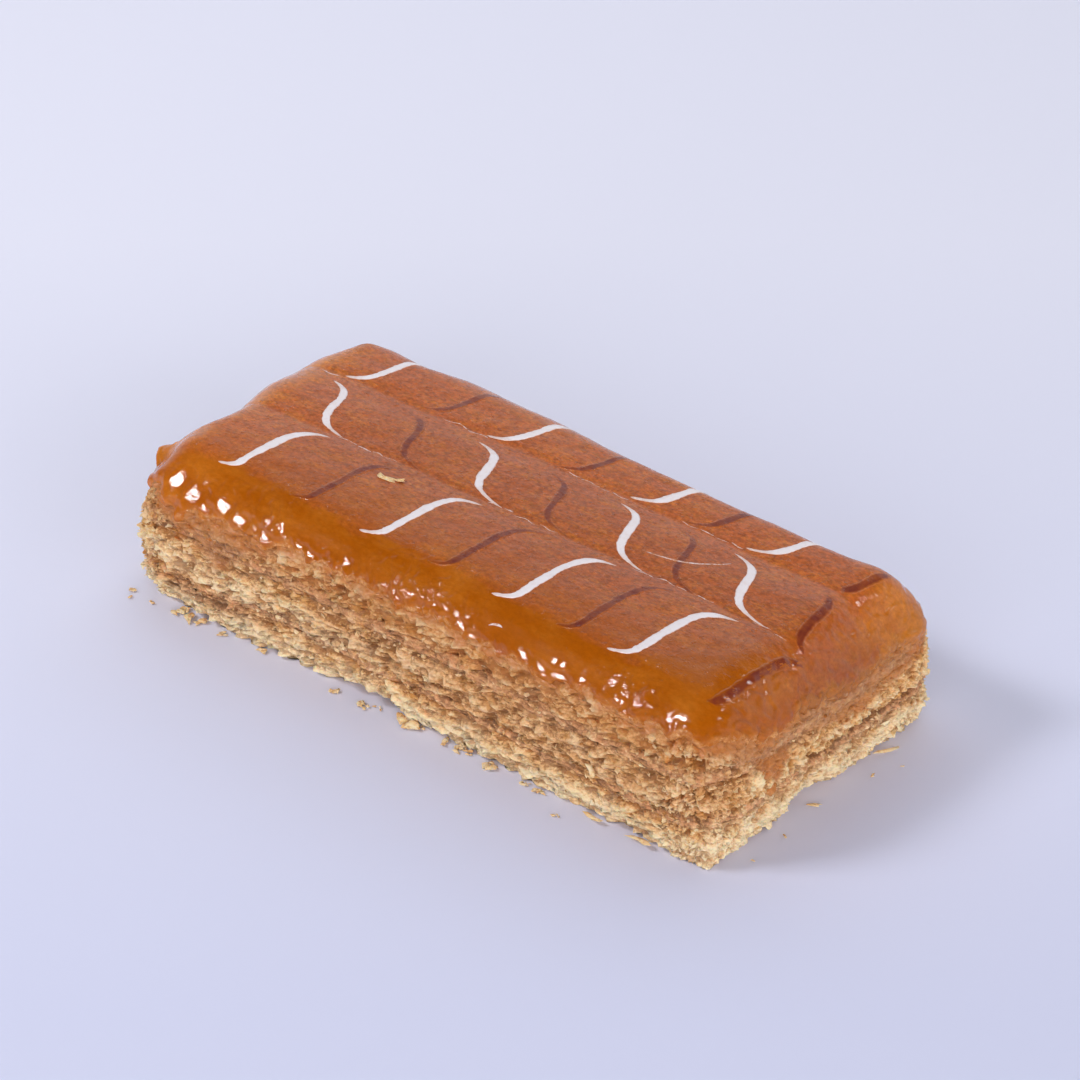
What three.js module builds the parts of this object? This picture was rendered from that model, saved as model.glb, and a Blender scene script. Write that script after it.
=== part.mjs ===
// Mille feuille slice: three sheets of flaky puff pastry with two thin fillings
// between them, under a rounded cap of glaze that runs down over the shoulders.
//
// Millimetres, +Z up. The origin is the middle of the footprint, on the plate.
// +X runs along the slice and -Y is its cut long side.

import * as THREE from 'three';

// ---- Driving dimensions ----

const LENGTH = 120;
const WIDTH = 57.4;
const CORNER_RADIUS = 8.8; // upright corners, seen from above
const SHOULDER_RADIUS = 10; // rounding of the top sheet's upper edge

const SHEET_BOTTOM_TOP = 6.6; // height of each sheet's or filling's upper side
const FILLING_LOWER_TOP = 7.7;
const SHEET_MIDDLE_TOP = 13.6;
const FILLING_UPPER_TOP = 15.2;
const SHEET_TOP_TOP = 24.0;

const LAYER_GAP = 0.2; // clearance between stacked layers
const GLAZE_GAP = 0.35; // clearance under the glaze
const GLAZE_THICKNESS = 1.1;
const GLAZE_LIP = 0.35; // thickness of the glaze at its lower edge
const CROWN = 0.5; // rise of the top from its shoulders to its middle

const FOOT_INSET = 1.3; // how far the foot is narrower than the middle
const FOOT_HEIGHT = 7; // height over which the foot widens
const FILLING_INSET = 0.7; // how far the fillings lie back from the sheets
const LAYER_WAVE = 0.45; // rise and fall of the layers along the sides

const FLAKE_DEPTH = 1.1; // depth of the gaps between flakes on the sides
const FLAKE_HEIGHT = 1.15; // height of one flake ledge

// Stations round the outline: on a long side, on an end and on a corner.
const LONG_SIDE_STEPS = 26;
const END_STEPS = 16;
const CORNER_STEPS = 5;

// Dents in the foot: where they are, how wide, how deep and how high they reach.
const FOOT_DENTS = [
  { x: 60, y: -3.5, reach: 4.5, depth: 2.4, height: 6 },
  { x: 60, y: 19, reach: 9, depth: 0.9, height: 7 },
  { x: -8, y: -28, reach: 7, depth: 2.4, height: 2.2 },
  { x: -60, y: 9, reach: 7, depth: 1.2, height: 5 },
  { x: 22, y: 28, reach: 9, depth: 1.3, height: 3 },
];

// Places where the glaze runs further down: where, how wide and how far.
const GLAZE_RUNS = [
  { x: 60, y: -7, reach: 4.5, drop: 6.2 },
  { x: 60, y: 22, reach: 6, drop: 3.4 },
  { x: 60, y: 6, reach: 12, drop: 3.2 },
  { x: -42, y: -28, reach: 13, drop: 3 },
  { x: -60, y: -17, reach: 5, drop: 2.4 },
  { x: -60, y: 12, reach: 9, drop: 3 },
  { x: -20, y: 28, reach: 10, drop: 2.2 },
  { x: 34, y: 28, reach: 7, drop: 2.8 },
];
const GLAZE_EDGE = 19.3; // height of the glaze's lower edge between the runs
const GLAZE_EDGE_WAVE = 0.5;

// A lobe of glaze that hangs out over the left end.
const LOBE = { x: -58, y: -17.5, reach: 3.2, size: 1.7, height: 20, spread: 2.6 };

// ---- Outline, as stations that keep their place while the outline shrinks ----

function outlineStations() {
  const stations = [];
  const addSide = (from, to, normal, steps) => {
    for (let step = 0; step < steps; step += 1) {
      const share = step / steps;
      stations.push({
        alongX: THREE.MathUtils.lerp(from[0], to[0], share),
        alongY: THREE.MathUtils.lerp(from[1], to[1], share),
        normalX: normal[0],
        normalY: normal[1],
      });
    }
  };
  const addCorner = (corner, startAngle) => {
    for (let step = 0; step < CORNER_STEPS; step += 1) {
      const angle = startAngle + (step / CORNER_STEPS) * (Math.PI / 2);
      stations.push({
        alongX: corner[0],
        alongY: corner[1],
        normalX: Math.cos(angle),
        normalY: Math.sin(angle),
      });
    }
  };
  addSide([1, -1], [1, 1], [1, 0], END_STEPS);
  addCorner([1, 1], 0);
  addSide([1, 1], [-1, 1], [0, 1], LONG_SIDE_STEPS);
  addCorner([-1, 1], Math.PI / 2);
  addSide([-1, 1], [-1, -1], [-1, 0], END_STEPS);
  addCorner([-1, -1], Math.PI);
  addSide([-1, -1], [1, -1], [0, -1], LONG_SIDE_STEPS);
  addCorner([1, -1], 1.5 * Math.PI);
  return stations;
}

const STATIONS = outlineStations();

// The point of a station with the outline drawn in by a distance.
function outlinePoint(station, inset) {
  const radius = Math.max(CORNER_RADIUS - inset, 0.5);
  const halfX = LENGTH / 2 - inset - radius;
  const halfY = WIDTH / 2 - inset - radius;
  return new THREE.Vector2(
    station.alongX * halfX + station.normalX * radius,
    station.alongY * halfY + station.normalY * radius,
  );
}

// ---- Unevenness, all of it smooth and repeatable ----

// A bump of height 1 round a place on the outline, fading out over its reach.
function bumpAt(point, place) {
  const distance = Math.hypot(point.x - place.x, point.y - place.y) / place.reach;
  return Math.exp(-distance * distance);
}

// A wave between -1 and 1 round the outline, out of a few whole harmonics.
function waveRound(index, harmonics, phase) {
  const turn = (2 * Math.PI * index) / STATIONS.length;
  const sum = harmonics.reduce(
    (total, harmonic) => total + Math.sin(harmonic * turn + phase * harmonic),
    0,
  );
  return sum / harmonics.length;
}

function layerRise(index) {
  return LAYER_WAVE * waveRound(index, [2, 5, 9], 0.7);
}

// How far the side lies back at a height: the foot is narrower than the middle.
function footInset(point, height) {
  const widening = THREE.MathUtils.clamp(1 - height / FOOT_HEIGHT, 0, 1);
  let inset = FOOT_INSET * widening * widening;
  for (const dent of FOOT_DENTS) {
    const fade = THREE.MathUtils.clamp(1 - height / dent.height, 0, 1);
    inset += dent.depth * fade * bumpAt(point, dent);
  }
  return inset;
}

// Gaps and ledges between the flakes: never further out than the side itself.
function flakeInset(index, level) {
  const broad = waveRound(index, [7, 12, 19], 1.3 + 2.1 * level);
  const fine = waveRound(index, [23, 31, 41], 0.4 + 3.7 * level);
  return FLAKE_DEPTH * (0.5 - 0.3 * broad - 0.2 * fine);
}

// The sheet's rounded shoulder and straight side, as one curve that runs down
// from the edge of the flat top. Offset is the distance outside the sheet.
function shoulderPoint(travel, offset) {
  const arcLength = SHOULDER_RADIUS * (Math.PI / 2);
  const centreHeight = SHEET_TOP_TOP - SHOULDER_RADIUS;
  if (travel > arcLength) {
    return { inset: -offset, height: centreHeight - (travel - arcLength) };
  }
  const angle = travel / SHOULDER_RADIUS;
  return {
    inset: SHOULDER_RADIUS - (SHOULDER_RADIUS + offset) * Math.sin(angle),
    height: centreHeight + (SHOULDER_RADIUS + offset) * Math.cos(angle),
  };
}

// How far down that curve a height on the sheet lies.
function travelToHeight(height) {
  const above = height - (SHEET_TOP_TOP - SHOULDER_RADIUS);
  if (above <= 0) {
    return SHOULDER_RADIUS * (Math.PI / 2) - above;
  }
  return SHOULDER_RADIUS * Math.acos(Math.min(above / SHOULDER_RADIUS, 1));
}

// ---- Closed bodies out of rings round the stations ----

// A ring: its shape function gives each station its inset and height.
function ring(shape) {
  return STATIONS.map((station, index) => {
    const edge = outlinePoint(station, 0);
    const { inset, height } = shape(edge, index);
    const point = outlinePoint(station, inset);
    return new THREE.Vector3(point.x, point.y, height);
  });
}

// One closed body: a fan to the first hub, bands between rings, a fan to the last.
function bodyOfRings(rings, firstHub, lastHub) {
  const count = STATIONS.length;
  const points = [...rings.flat(), firstHub, lastHub];
  const firstHubIndex = points.length - 2;
  const lastHubIndex = points.length - 1;
  const lastRingStart = (rings.length - 1) * count;
  const triangles = [];
  for (let index = 0; index < count; index += 1) {
    const next = (index + 1) % count;
    triangles.push(firstHubIndex, next, index);
    triangles.push(lastHubIndex, lastRingStart + index, lastRingStart + next);
    for (let band = 0; band < rings.length - 1; band += 1) {
      const low = band * count;
      const high = low + count;
      triangles.push(low + index, low + next, high + next);
      triangles.push(low + index, high + next, high + index);
    }
  }
  const geometry = new THREE.BufferGeometry().setFromPoints(points);
  geometry.setIndex(triangles);
  geometry.computeVertexNormals();
  return geometry;
}

// ---- The layers ----

// A flat sheet of flaky pastry between two heights, with ledges on its sides.
function flatSheet(bottom, top, seed) {
  const ledges = Math.round((top - bottom) / FLAKE_HEIGHT);
  const rings = [];
  for (let ledge = 0; ledge <= ledges; ledge += 1) {
    const share = ledge / ledges;
    const height = THREE.MathUtils.lerp(bottom, top, share);
    const onPlate = height === 0;
    rings.push(ring((edge, index) => ({
      inset: footInset(edge, height) + flakeInset(index, seed + ledge),
      height: onPlate ? 0 : height + layerRise(index),
    })));
  }
  return bodyOfRings(rings, new THREE.Vector3(0, 0, bottom), new THREE.Vector3(0, 0, top));
}

// A thin filling, lying back from the sheets that hold it.
function filling(bottom, top, seed) {
  const middle = (bottom + top) / 2;
  const layer = (height, bulge) => ring((edge, index) => ({
    inset: footInset(edge, height) + FILLING_INSET - bulge + 0.3 * flakeInset(index, seed),
    height: height + layerRise(index),
  }));
  const rings = [layer(bottom, 0), layer(middle, 0.25), layer(top, 0)];
  return bodyOfRings(rings, new THREE.Vector3(0, 0, bottom), new THREE.Vector3(0, 0, top));
}

// The top sheet: flaky sides, then smooth shoulders and a slightly crowned top.
function topSheet(bottom, seed) {
  const rings = [];
  const ledgeHeights = [bottom, bottom + 1.2, bottom + 2.4, bottom + 3.5];
  ledgeHeights.forEach((height, ledge) => {
    rings.push(ring((edge, index) => {
      const side = shoulderPoint(travelToHeight(height), 0);
      return {
        inset: side.inset + 0.6 * flakeInset(index, seed + ledge),
        height: height + layerRise(index) * (1 - ledge / ledgeHeights.length),
      };
    }));
  });
  const shoulderAngles = [0.85, 0.55, 0.27, 0];
  for (const angle of shoulderAngles) {
    rings.push(ring(() => shoulderPoint(angle * SHOULDER_RADIUS, 0)));
  }
  const flatHalf = WIDTH / 2 - SHOULDER_RADIUS;
  rings.push(ring(() => ({
    inset: SHOULDER_RADIUS + flatHalf / 2,
    height: SHEET_TOP_TOP + 0.7 * CROWN,
  })));
  return bodyOfRings(
    rings,
    new THREE.Vector3(0, 0, bottom),
    new THREE.Vector3(0, 0, SHEET_TOP_TOP + CROWN),
  );
}

// Height of the glaze's lower edge at a place on the outline.
function glazeEdgeHeight(edge, index) {
  let height = GLAZE_EDGE + GLAZE_EDGE_WAVE * waveRound(index, [11, 17, 29], 0.9);
  for (const run of GLAZE_RUNS) {
    height -= run.drop * bumpAt(edge, run);
  }
  return height;
}

function lobeAt(edge, height) {
  const level = (height - LOBE.height) / LOBE.spread;
  return LOBE.size * bumpAt(edge, LOBE) * Math.exp(-level * level);
}

// The glaze: an inner side that follows the top sheet, a thin lower lip, and an
// outer side that swells to the full thickness within a few millimetres.
function glazeCap() {
  const curveAt = (share, offsetAt) => ring((edge, index) => {
    const lipTravel = travelToHeight(glazeEdgeHeight(edge, index));
    const travel = lipTravel * share;
    const side = shoulderPoint(travel, offsetAt(share));
    return { inset: side.inset - lobeAt(edge, side.height), height: side.height };
  });
  const innerOffset = () => GLAZE_GAP;
  const outerOffset = (share) => {
    const swell = Math.min((1 - share) / 0.25, 1);
    return GLAZE_GAP + THREE.MathUtils.lerp(GLAZE_LIP, GLAZE_THICKNESS, Math.sqrt(swell));
  };
  const flatHalf = WIDTH / 2 - SHOULDER_RADIUS;
  const topRing = (share, offset) => ring(() => ({
    inset: SHOULDER_RADIUS + flatHalf * share,
    height: SHEET_TOP_TOP + offset + CROWN * (1 - (1 - share) ** 2),
  }));
  const shares = [0, 0.25, 0.5, 0.75, 0.9, 1];
  const inner = shares.map((share) => curveAt(share, innerOffset));
  const outer = shares.map((share) => curveAt(share, outerOffset)).reverse();
  const full = GLAZE_GAP + GLAZE_THICKNESS;
  const rings = [
    topRing(0.5, GLAZE_GAP),
    ...inner,
    ...outer,
    topRing(0.3, full),
    topRing(0.65, full),
  ];
  return bodyOfRings(
    rings,
    new THREE.Vector3(0, 0, SHEET_TOP_TOP + CROWN + GLAZE_GAP),
    new THREE.Vector3(0, 0, SHEET_TOP_TOP + CROWN + full),
  );
}

// ---- The slice ----

function layerMesh(name, geometry, finish) {
  const material = new THREE.MeshStandardMaterial({ metalness: 0, ...finish });
  const mesh = new THREE.Mesh(geometry, material);
  mesh.name = name;
  return mesh;
}

const bakedPastry = { color: 0xc4946a, roughness: 0.85 };
const palePastry = { color: 0xcfa276, roughness: 0.85 };
const brownedPastry = { color: 0xbe875a, roughness: 0.8 };
const brownFilling = { color: 0xa8745a, roughness: 0.6 };
const caramelGlaze = { color: 0xa86432, roughness: 0.2 };

const slice = new THREE.Group();
slice.add(
  layerMesh('pastry_bottom', flatSheet(0, SHEET_BOTTOM_TOP, 0), bakedPastry),
  layerMesh(
    'filling_lower',
    filling(SHEET_BOTTOM_TOP + LAYER_GAP, FILLING_LOWER_TOP, 40),
    brownFilling,
  ),
  layerMesh(
    'pastry_middle',
    flatSheet(FILLING_LOWER_TOP + LAYER_GAP, SHEET_MIDDLE_TOP, 11),
    palePastry,
  ),
  layerMesh(
    'filling_upper',
    filling(SHEET_MIDDLE_TOP + LAYER_GAP, FILLING_UPPER_TOP, 50),
    brownFilling,
  ),
  layerMesh('pastry_top', topSheet(FILLING_UPPER_TOP + LAYER_GAP, 23), brownedPastry),
  layerMesh('glaze_cap', glazeCap(), caramelGlaze),
);

// The lobe and the runs reach out unevenly, so the whole is centred by its box.
const middle = new THREE.Box3().setFromObject(slice).getCenter(new THREE.Vector3());
slice.position.set(-middle.x, -middle.y, 0);

export default slice;
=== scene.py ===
import math
from collections import namedtuple

import bpy
import numpy as np
from bpy.props import FloatProperty, FloatVectorProperty, IntProperty, PointerProperty
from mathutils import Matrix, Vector, noise
from mathutils.bvhtree import BVHTree


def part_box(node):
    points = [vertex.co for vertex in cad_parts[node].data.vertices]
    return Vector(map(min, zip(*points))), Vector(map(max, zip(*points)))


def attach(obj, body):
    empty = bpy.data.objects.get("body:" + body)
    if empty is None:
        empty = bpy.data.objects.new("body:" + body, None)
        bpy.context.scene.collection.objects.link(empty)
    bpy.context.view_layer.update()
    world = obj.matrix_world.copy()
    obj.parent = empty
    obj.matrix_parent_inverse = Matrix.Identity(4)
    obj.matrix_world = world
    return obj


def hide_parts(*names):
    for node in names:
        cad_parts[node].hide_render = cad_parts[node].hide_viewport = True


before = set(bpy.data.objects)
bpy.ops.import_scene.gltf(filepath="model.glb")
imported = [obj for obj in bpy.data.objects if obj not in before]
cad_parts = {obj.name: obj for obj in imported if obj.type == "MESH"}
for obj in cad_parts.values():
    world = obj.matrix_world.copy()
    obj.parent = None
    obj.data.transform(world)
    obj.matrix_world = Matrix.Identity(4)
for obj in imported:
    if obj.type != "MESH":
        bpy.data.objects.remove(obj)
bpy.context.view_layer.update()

bl_info = {
    "name": "Mille feuille slice",
    "version": (1, 0, 0),
    "blender": (4, 5, 0),
    "location": "3D View > Sidebar > Pastry",
    "description": "Flaky sheets, fillings, glaze and feathered icing of a mille feuille slice",
    "category": "Add Mesh",
}

# Shapes are worked out in millimetres and written to the meshes in metres.
MM = 0.001

# ---- The slice's outline and layers, in millimetres ----

HALF_LENGTH = 59.6
HALF_WIDTH = 28.3
RIGHT, LEFT, FAR, NEAR = HALF_LENGTH, -HALF_LENGTH, HALF_WIDTH, -HALF_WIDTH
CORNER_RADIUS = 8.8
SHOULDER_RADIUS = 10.0
CORE = np.array((HALF_LENGTH, HALF_WIDTH)) - CORNER_RADIUS  # inside the round corners
FLAT_TOP = np.array((HALF_LENGTH, HALF_WIDTH)) - SHOULDER_RADIUS  # inside the shoulders

CROWN = 0.5  # how far the top's middle stands above its shoulders
SHOULDER_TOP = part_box("pastry_top")[1].z / MM - CROWN
SHOULDER_CENTRE = SHOULDER_TOP - SHOULDER_RADIUS
BOTTOM_SHEET = (0.0, 6.6)
LOWER_FILLING = (6.2, 8.0)
MIDDLE_SHEET = (7.6, 13.8)
UPPER_FILLING = (13.3, 15.8)
TOP_SHEET = (15.2, SHOULDER_TOP)

FOOT_INSET = 1.3
FOOT_HEIGHT = 7.0
BULGE = 0.25  # how far a sheet's side stands out at its middle height

# Places where the foot lies back, or stands out where the depth is below 0: place,
# reach, depth, and the height at which the dent ends.
Dent = namedtuple("Dent", "place reach depth top")
FOOT_DENTS = (
    Dent((60.0, -3.5), 4.5, 2.6, 6.0),
    Dent((60.0, 19.0), 9.0, 0.2, 7.0),
    Dent((59.0, 27.0), 5.0, -1.1, 8.0),
    Dent((-8.0, -28.0), 7.0, 2.2, 2.6),
    Dent((-60.0, 9.0), 7.0, 1.2, 5.0),
    Dent((22.0, 28.0), 9.0, 1.3, 3.0),
    Dent((57.2, -26.2), 3.6, -2.4, 9.0),
    Dent((-34.0, -28.0), 10.0, -1.2, 5.0),
)

# Places where two layers gape: from, to, height, half height and depth, and
# how broken the gap is along its way, from 0 to 1.
Crack = namedtuple("Crack", "start end height spread depth broken")
CRACKS = (
    Crack((RIGHT, -6.0), (RIGHT, 27.0), 8.0, 0.6, 1.1, 0.5),
    Crack((40.0, NEAR), (57.0, NEAR), 1.3, 0.45, 1.6, 0.0),
    Crack((-52.0, NEAR), (-34.0, NEAR), 5.2, 0.7, 0.9, 0.3),
    Crack((-14.0, NEAR), (-2.0, NEAR), 0.7, 0.6, 2.0, 0.0),
    Crack((RIGHT, -24.0), (RIGHT, -10.0), 13.4, 0.5, 0.8, 0.5),
    Crack((LEFT, -14.0), (LEFT, 20.0), 7.2, 0.7, 1.4, 0.5),
    Crack((-40.0, FAR), (12.0, FAR), 7.4, 0.6, 1.3, 0.6),
    Crack((20.0, FAR), (48.0, FAR), 14.2, 0.6, 1.1, 0.5),
    Crack((-28.0, NEAR), (56.0, NEAR), 17.0, 0.55, 1.3, 1.0),
    Crack((-50.0, FAR), (50.0, FAR), 17.0, 0.55, 1.2, 1.0),
    Crack((LEFT, -20.0), (LEFT, 20.0), 16.6, 0.55, 1.2, 1.0),
)

# Places where the top's edge stands out or lies back: place, reach and size.
Swell = namedtuple("Swell", "place reach size")
SWELLS = (
    Swell((22.0, 28.0), 30.0, -4.4),
    Swell((-28.0, 28.0), 18.0, -0.5),
    Swell((-57.0, 25.5), 5.5, -3.0),
    Swell((-45.0, 28.0), 6.0, -2.6),
    Swell((48.0, 28.0), 9.0, -1.6),
    Swell((56.0, 27.0), 4.5, 0.5),
    Swell((60.0, 24.0), 4.0, 0.5),
    Swell((-60.0, 12.0), 12.0, -0.3),
    Swell((-60.0, -12.0), 8.5, -2.1),
    Swell((-58.0, -24.5), 4.0, -1.9),
)

# Places stained brown by a filling: place, height, reach, spread and strength.
Stain = namedtuple("Stain", "place height reach spread strength")
STAINS = (
    Stain((-42.5, NEAR), 5.2, 10.0, 1.7, 1.6),
    Stain((-38.5, NEAR), 14.2, 5.0, 2.2, 1.1),
    Stain((RIGHT, 14.0), 7.6, 9.0, 1.0, 0.7),
    Stain((RIGHT, 0.0), 14.2, 11.0, 2.0, 1.0),
    Stain((RIGHT, -21.0), 15.5, 4.0, 2.0, 0.8),
    Stain((30.0, FAR), 7.0, 12.0, 1.2, 0.8),
    Stain((LEFT, 4.0), 14.2, 9.0, 1.2, 0.7),
)

# ---- The glaze's edge ----

GLAZE_DEPTH = 1.45
GLAZE_EDGE = 19.5  # mean height of its lower edge

Run = namedtuple("Run", "place reach drop")
GLAZE_RUNS = (
    Run((60.0, -14.5), 5.0, 2.6),
    Run((60.0, 6.0), 16.0, 4.6),
    Run((60.0, 22.0), 4.0, 2.6),
    Run((-57.2, -25.5), 2.4, 2.2),
    Run((-50.6, -28.0), 1.9, 2.4),
    Run((-46.6, -28.0), 1.5, 4.0),
    Run((-42.4, -28.0), 2.0, 2.2),
    Run((-36.5, -28.0), 2.6, 1.5),
    Run((-29.0, -28.0), 2.2, 1.1),
    Run((-60.0, -17.0), 5.0, 1.4),
    Run((-60.0, 12.0), 9.0, 3.0),
    Run((-20.0, 28.0), 10.0, 2.2),
    Run((34.0, 28.0), 7.0, 2.8),
)
# Runs of glaze that has soaked into the pastry below the glaze's edge.
SOAK_RUNS = (
    Run((60.0, 6.0), 17.0, 3.2),
    Run((60.0, -13.6), 3.4, 5.6),
    Run((60.0, -21.0), 4.0, 2.0),
    Run((-44.0, -28.0), 9.0, 1.2),
    Run((-37.5, -28.0), 6.0, 6.0),
    Run((-60.0, 2.0), 14.0, 1.5),
    Run((10.0, 28.0), 16.0, 1.4),
)

# Thicker drops on the glaze: place, height, reach along and up, size.
Drop = namedtuple("Drop", "place height reach spread size")
GLAZE_DROPS = (
    Drop((-58.6, -20.8), 19.4, 2.1, 1.7, 2.6),
    Drop((-57.0, -25.7), 18.4, 2.3, 1.5, 1.0),
    Drop((-50.6, -28.0), 18.2, 1.6, 1.1, 0.4),
    Drop((-46.6, -28.0), 16.6, 1.2, 1.2, 0.45),
    Drop((-54.5, -27.5), 20.4, 2.0, 1.1, 0.5),
    Drop((-33.0, -28.0), 19.2, 2.4, 1.0, 0.3),
    Drop((30.0, -28.0), 20.0, 4.0, 1.0, 0.25),
    Drop((60.0, 21.0), 18.0, 2.4, 1.8, 0.7),
)
# Flat wet places on the near rim, which mirror a light whole: place along, height,
# how far they rise for each millimetre along, and their reach along and up.
Pool = namedtuple("Pool", "place height slant along up")
GLAZE_POOLS = (
    Pool(-50.0, 21.9, -0.1, 2.7, 1.4),
    Pool(-46.0, 21.4, -0.1, 2.4, 1.3),
    Pool(-42.6, 20.2, 0.0, 1.6, 0.9),
    Pool(-39.4, 21.4, -0.12, 2.6, 1.3),
    Pool(-35.4, 20.9, -0.12, 2.3, 1.2),
    Pool(-31.8, 21.2, -0.3, 1.2, 0.8),
    Pool(-29.0, 20.6, -0.1, 1.7, 0.9),
    Pool(-22.8, 21.2, -0.16, 1.8, 0.6),
    Pool(-20.0, 20.7, -0.16, 1.8, 0.6),
    Pool(-13.3, 21.8, 0.0, 1.1, 0.8),
    Pool(11.1, 21.2, 0.0, 1.4, 0.8),
    Pool(13.4, 20.2, -0.05, 1.6, 0.6),
    Pool(24.2, 21.35, -0.11, 2.2, 0.85),
    Pool(27.4, 21.0, -0.11, 2.2, 0.85),
    Pool(30.6, 20.65, -0.11, 2.2, 0.8),
)

# ---- The feathered icing ----

# The icing is piped in lines across the slice, and a point is then drawn along
# it four times, which pulls the lines to the left or to the right.
Drag = namedtuple("Drag", "height slope")
DRAGS = (
    Drag(-21.6, 0.0),
    Drag(-3.8, 0.022),
    Drag(10.6, 0.026),
    Drag(24.0, 0.0),
)
# The rows of strokes between the drags: how far short of them each ends, how far
# its ends are pulled, and how much of the near pull is in the stroke's very end.
Row = namedtuple("Row", "near_gap far_gap near_pull far_pull spur")
ROWS = (
    Row(0.2, 1.3, -4.4, 6.0, 0.80),
    Row(0.3, 2.2, 8.8, -6.6, 0.4),
    Row(0.4, 2.4, -6.2, 2.8, 0.4),
)
Line = namedtuple("Line", "near middle far pull")
WHITE_LINES = (
    Line(-40.0, -41.0, -41.2, 0.85),
    Line(-9.6, -9.9, -11.2, 1.0),
    Line(16.6, 17.8, 17.2, 0.95),
    Line(39.0, 39.8, 39.4, 1.0),
)
BROWN_LINES = (
    Line(-24.6, -24.9, -25.4, 0.9),
    Line(3.8, 3.8, 2.6, 0.9),
    Line(28.4, 28.4, 27.4, 0.8),
    Line(54.6, 52.6, 52.4, 0.35),
)


# ---- Noise and other helpers ----

TINY = 1e-6  # keeps a number that divides another from being 0
LEVEL = (1.0, 1.0, 0.0)  # a place times this keeps no height
SEED_STEP = np.array((1.37, -2.11, 0.73))  # how far apart the noises of two seeds lie


def noise_at(points, size, seed):
    """Smooth noise from -1 to 1, with features of a size in millimetres per axis."""
    moved = points / np.asarray(size, float) + seed * SEED_STEP
    return np.array([noise.noise(place) for place in moved.tolist()])


# One noise among several: its height and size in millimetres, and its seed.
Wave = namedtuple("Wave", "height size seed")


def waves(points, layers, seed=0.0):
    """The sum of several noises, each with its height, size and seed."""
    return sum(wave.height * noise_at(points, wave.size, seed + wave.seed) for wave in layers)


def bump(points, place, reach):
    """A bump of height 1 round a place, fading out over its reach."""
    squares = ((points[:, :2] - np.asarray(place)) ** 2).sum(axis=1)
    return np.exp(-squares / reach**2)


def bell(value, middle, reach):
    """1 where a value is at its middle, fading out over its reach."""
    return np.exp(-(((value - middle) / reach) ** 2))


def smooth_step(value, low, high):
    """0 below low, 1 above high, and a smooth rise between them."""
    share = np.clip((value - low) / (high - low), 0.0, 1.0)
    return share * share * (3.0 - 2.0 * share)


def fade_out(value, low, high):
    """1 below low, 0 above high, and a smooth fall between them."""
    return 1.0 - smooth_step(value, low, high)


def past_core(points):
    """How far each point lies outside the straight middle part, along and across."""
    return points[:, :2] - np.clip(points[:, :2], -CORE, CORE)


def outward(points):
    """The direction away from the slice's middle line, level, at each point."""
    away = past_core(points)
    size = np.linalg.norm(away, axis=1, keepdims=True)
    return away / np.maximum(size, TINY)


def on_outline(points):
    """The place on the slice's outline that each point lies behind, with its height."""
    places = points.copy()
    places[:, :2] -= past_core(points)
    places[:, :2] += CORNER_RADIUS * outward(points)
    return places


def ring_places(side, along, inset):
    """Places on the outline drawn in by an inset, and the directions away from it.

    The sides are 0 right, 1 far, 2 left and 3 near. A side runs from the middle
    of one corner, where along is -1, to the middle of the next, where it is 1.
    """
    radius = np.maximum(CORNER_RADIUS * (1.0 - inset / SHOULDER_RADIUS), TINY)
    end = side % 2 == 0
    across = np.where(end, HALF_LENGTH, HALF_WIDTH) - inset
    run = np.where(end, HALF_WIDTH, HALF_LENGTH) - inset - radius
    place = along * (run + radius * math.pi / 4)
    angle = np.clip(np.abs(place) - run, 0.0, None) / radius
    sideways = np.sign(along) * (np.minimum(np.abs(place), run) + radius * np.sin(angle))
    out = across - radius * (1.0 - np.cos(angle))
    turn = side * math.pi / 2
    ahead = np.stack([np.cos(turn), np.sin(turn)], axis=1)
    left = np.stack([-np.sin(turn), np.cos(turn)], axis=1)
    places = out[:, None] * ahead + sideways[:, None] * left
    lean = np.sign(along) * np.sin(angle)
    away = np.cos(angle)[:, None] * ahead + lean[:, None] * left
    return places, away


def read_points(mesh):
    """A mesh's vertices in millimetres."""
    flat = np.empty(3 * len(mesh.vertices), np.float32)
    mesh.vertices.foreach_get("co", flat)
    return flat.reshape(-1, 3).astype(float) / MM


def read_normals(mesh):
    """The directions that a mesh's vertices face."""
    flat = np.empty(3 * len(mesh.vertices), np.float32)
    mesh.vertices.foreach_get("normal", flat)
    return flat.reshape(-1, 3).astype(float)


def write_points(mesh, points):
    """Moves a mesh's vertices to places in millimetres."""
    mesh.vertices.foreach_set("co", (points * MM).astype(np.float32).ravel())
    mesh.update()


def write_values(mesh, **values):
    """Stores a number for each vertex, or one for all of them, for the material to read."""
    for name, numbers in values.items():
        attribute = mesh.attributes.new(name, "FLOAT", "POINT")
        spread = np.broadcast_to(numbers, len(mesh.vertices))
        attribute.data.foreach_set("value", spread.astype(np.float32))


# ---- Node trees ----


def is_link(value):
    """Whether a value comes from another node."""
    return isinstance(value, bpy.types.NodeSocket)


def feed(tree, node, feeds):
    """Feeds a node's sockets with values or links."""
    for socket, value in feeds.items():
        if is_link(value):
            tree.links.new(value, node.inputs[socket])
        else:
            node.inputs[socket].default_value = value


def add_node(tree, kind, feeds=None, **settings):
    """Adds a node, sets it up and feeds its sockets."""
    node = tree.nodes.new(kind)
    for name, value in settings.items():
        setattr(node, name, value)
    feed(tree, node, feeds or {})
    return node


def math_node(tree, operation, first, second):
    """The result of one arithmetic step."""
    feeds = {0: first, 1: second}
    return add_node(tree, "ShaderNodeMath", feeds, operation=operation).outputs[0]


def times(tree, first, second):
    """One value times another."""
    return math_node(tree, "MULTIPLY", first, second)


def less(tree, first, second):
    """One value less another."""
    return math_node(tree, "SUBTRACT", first, second)


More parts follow.
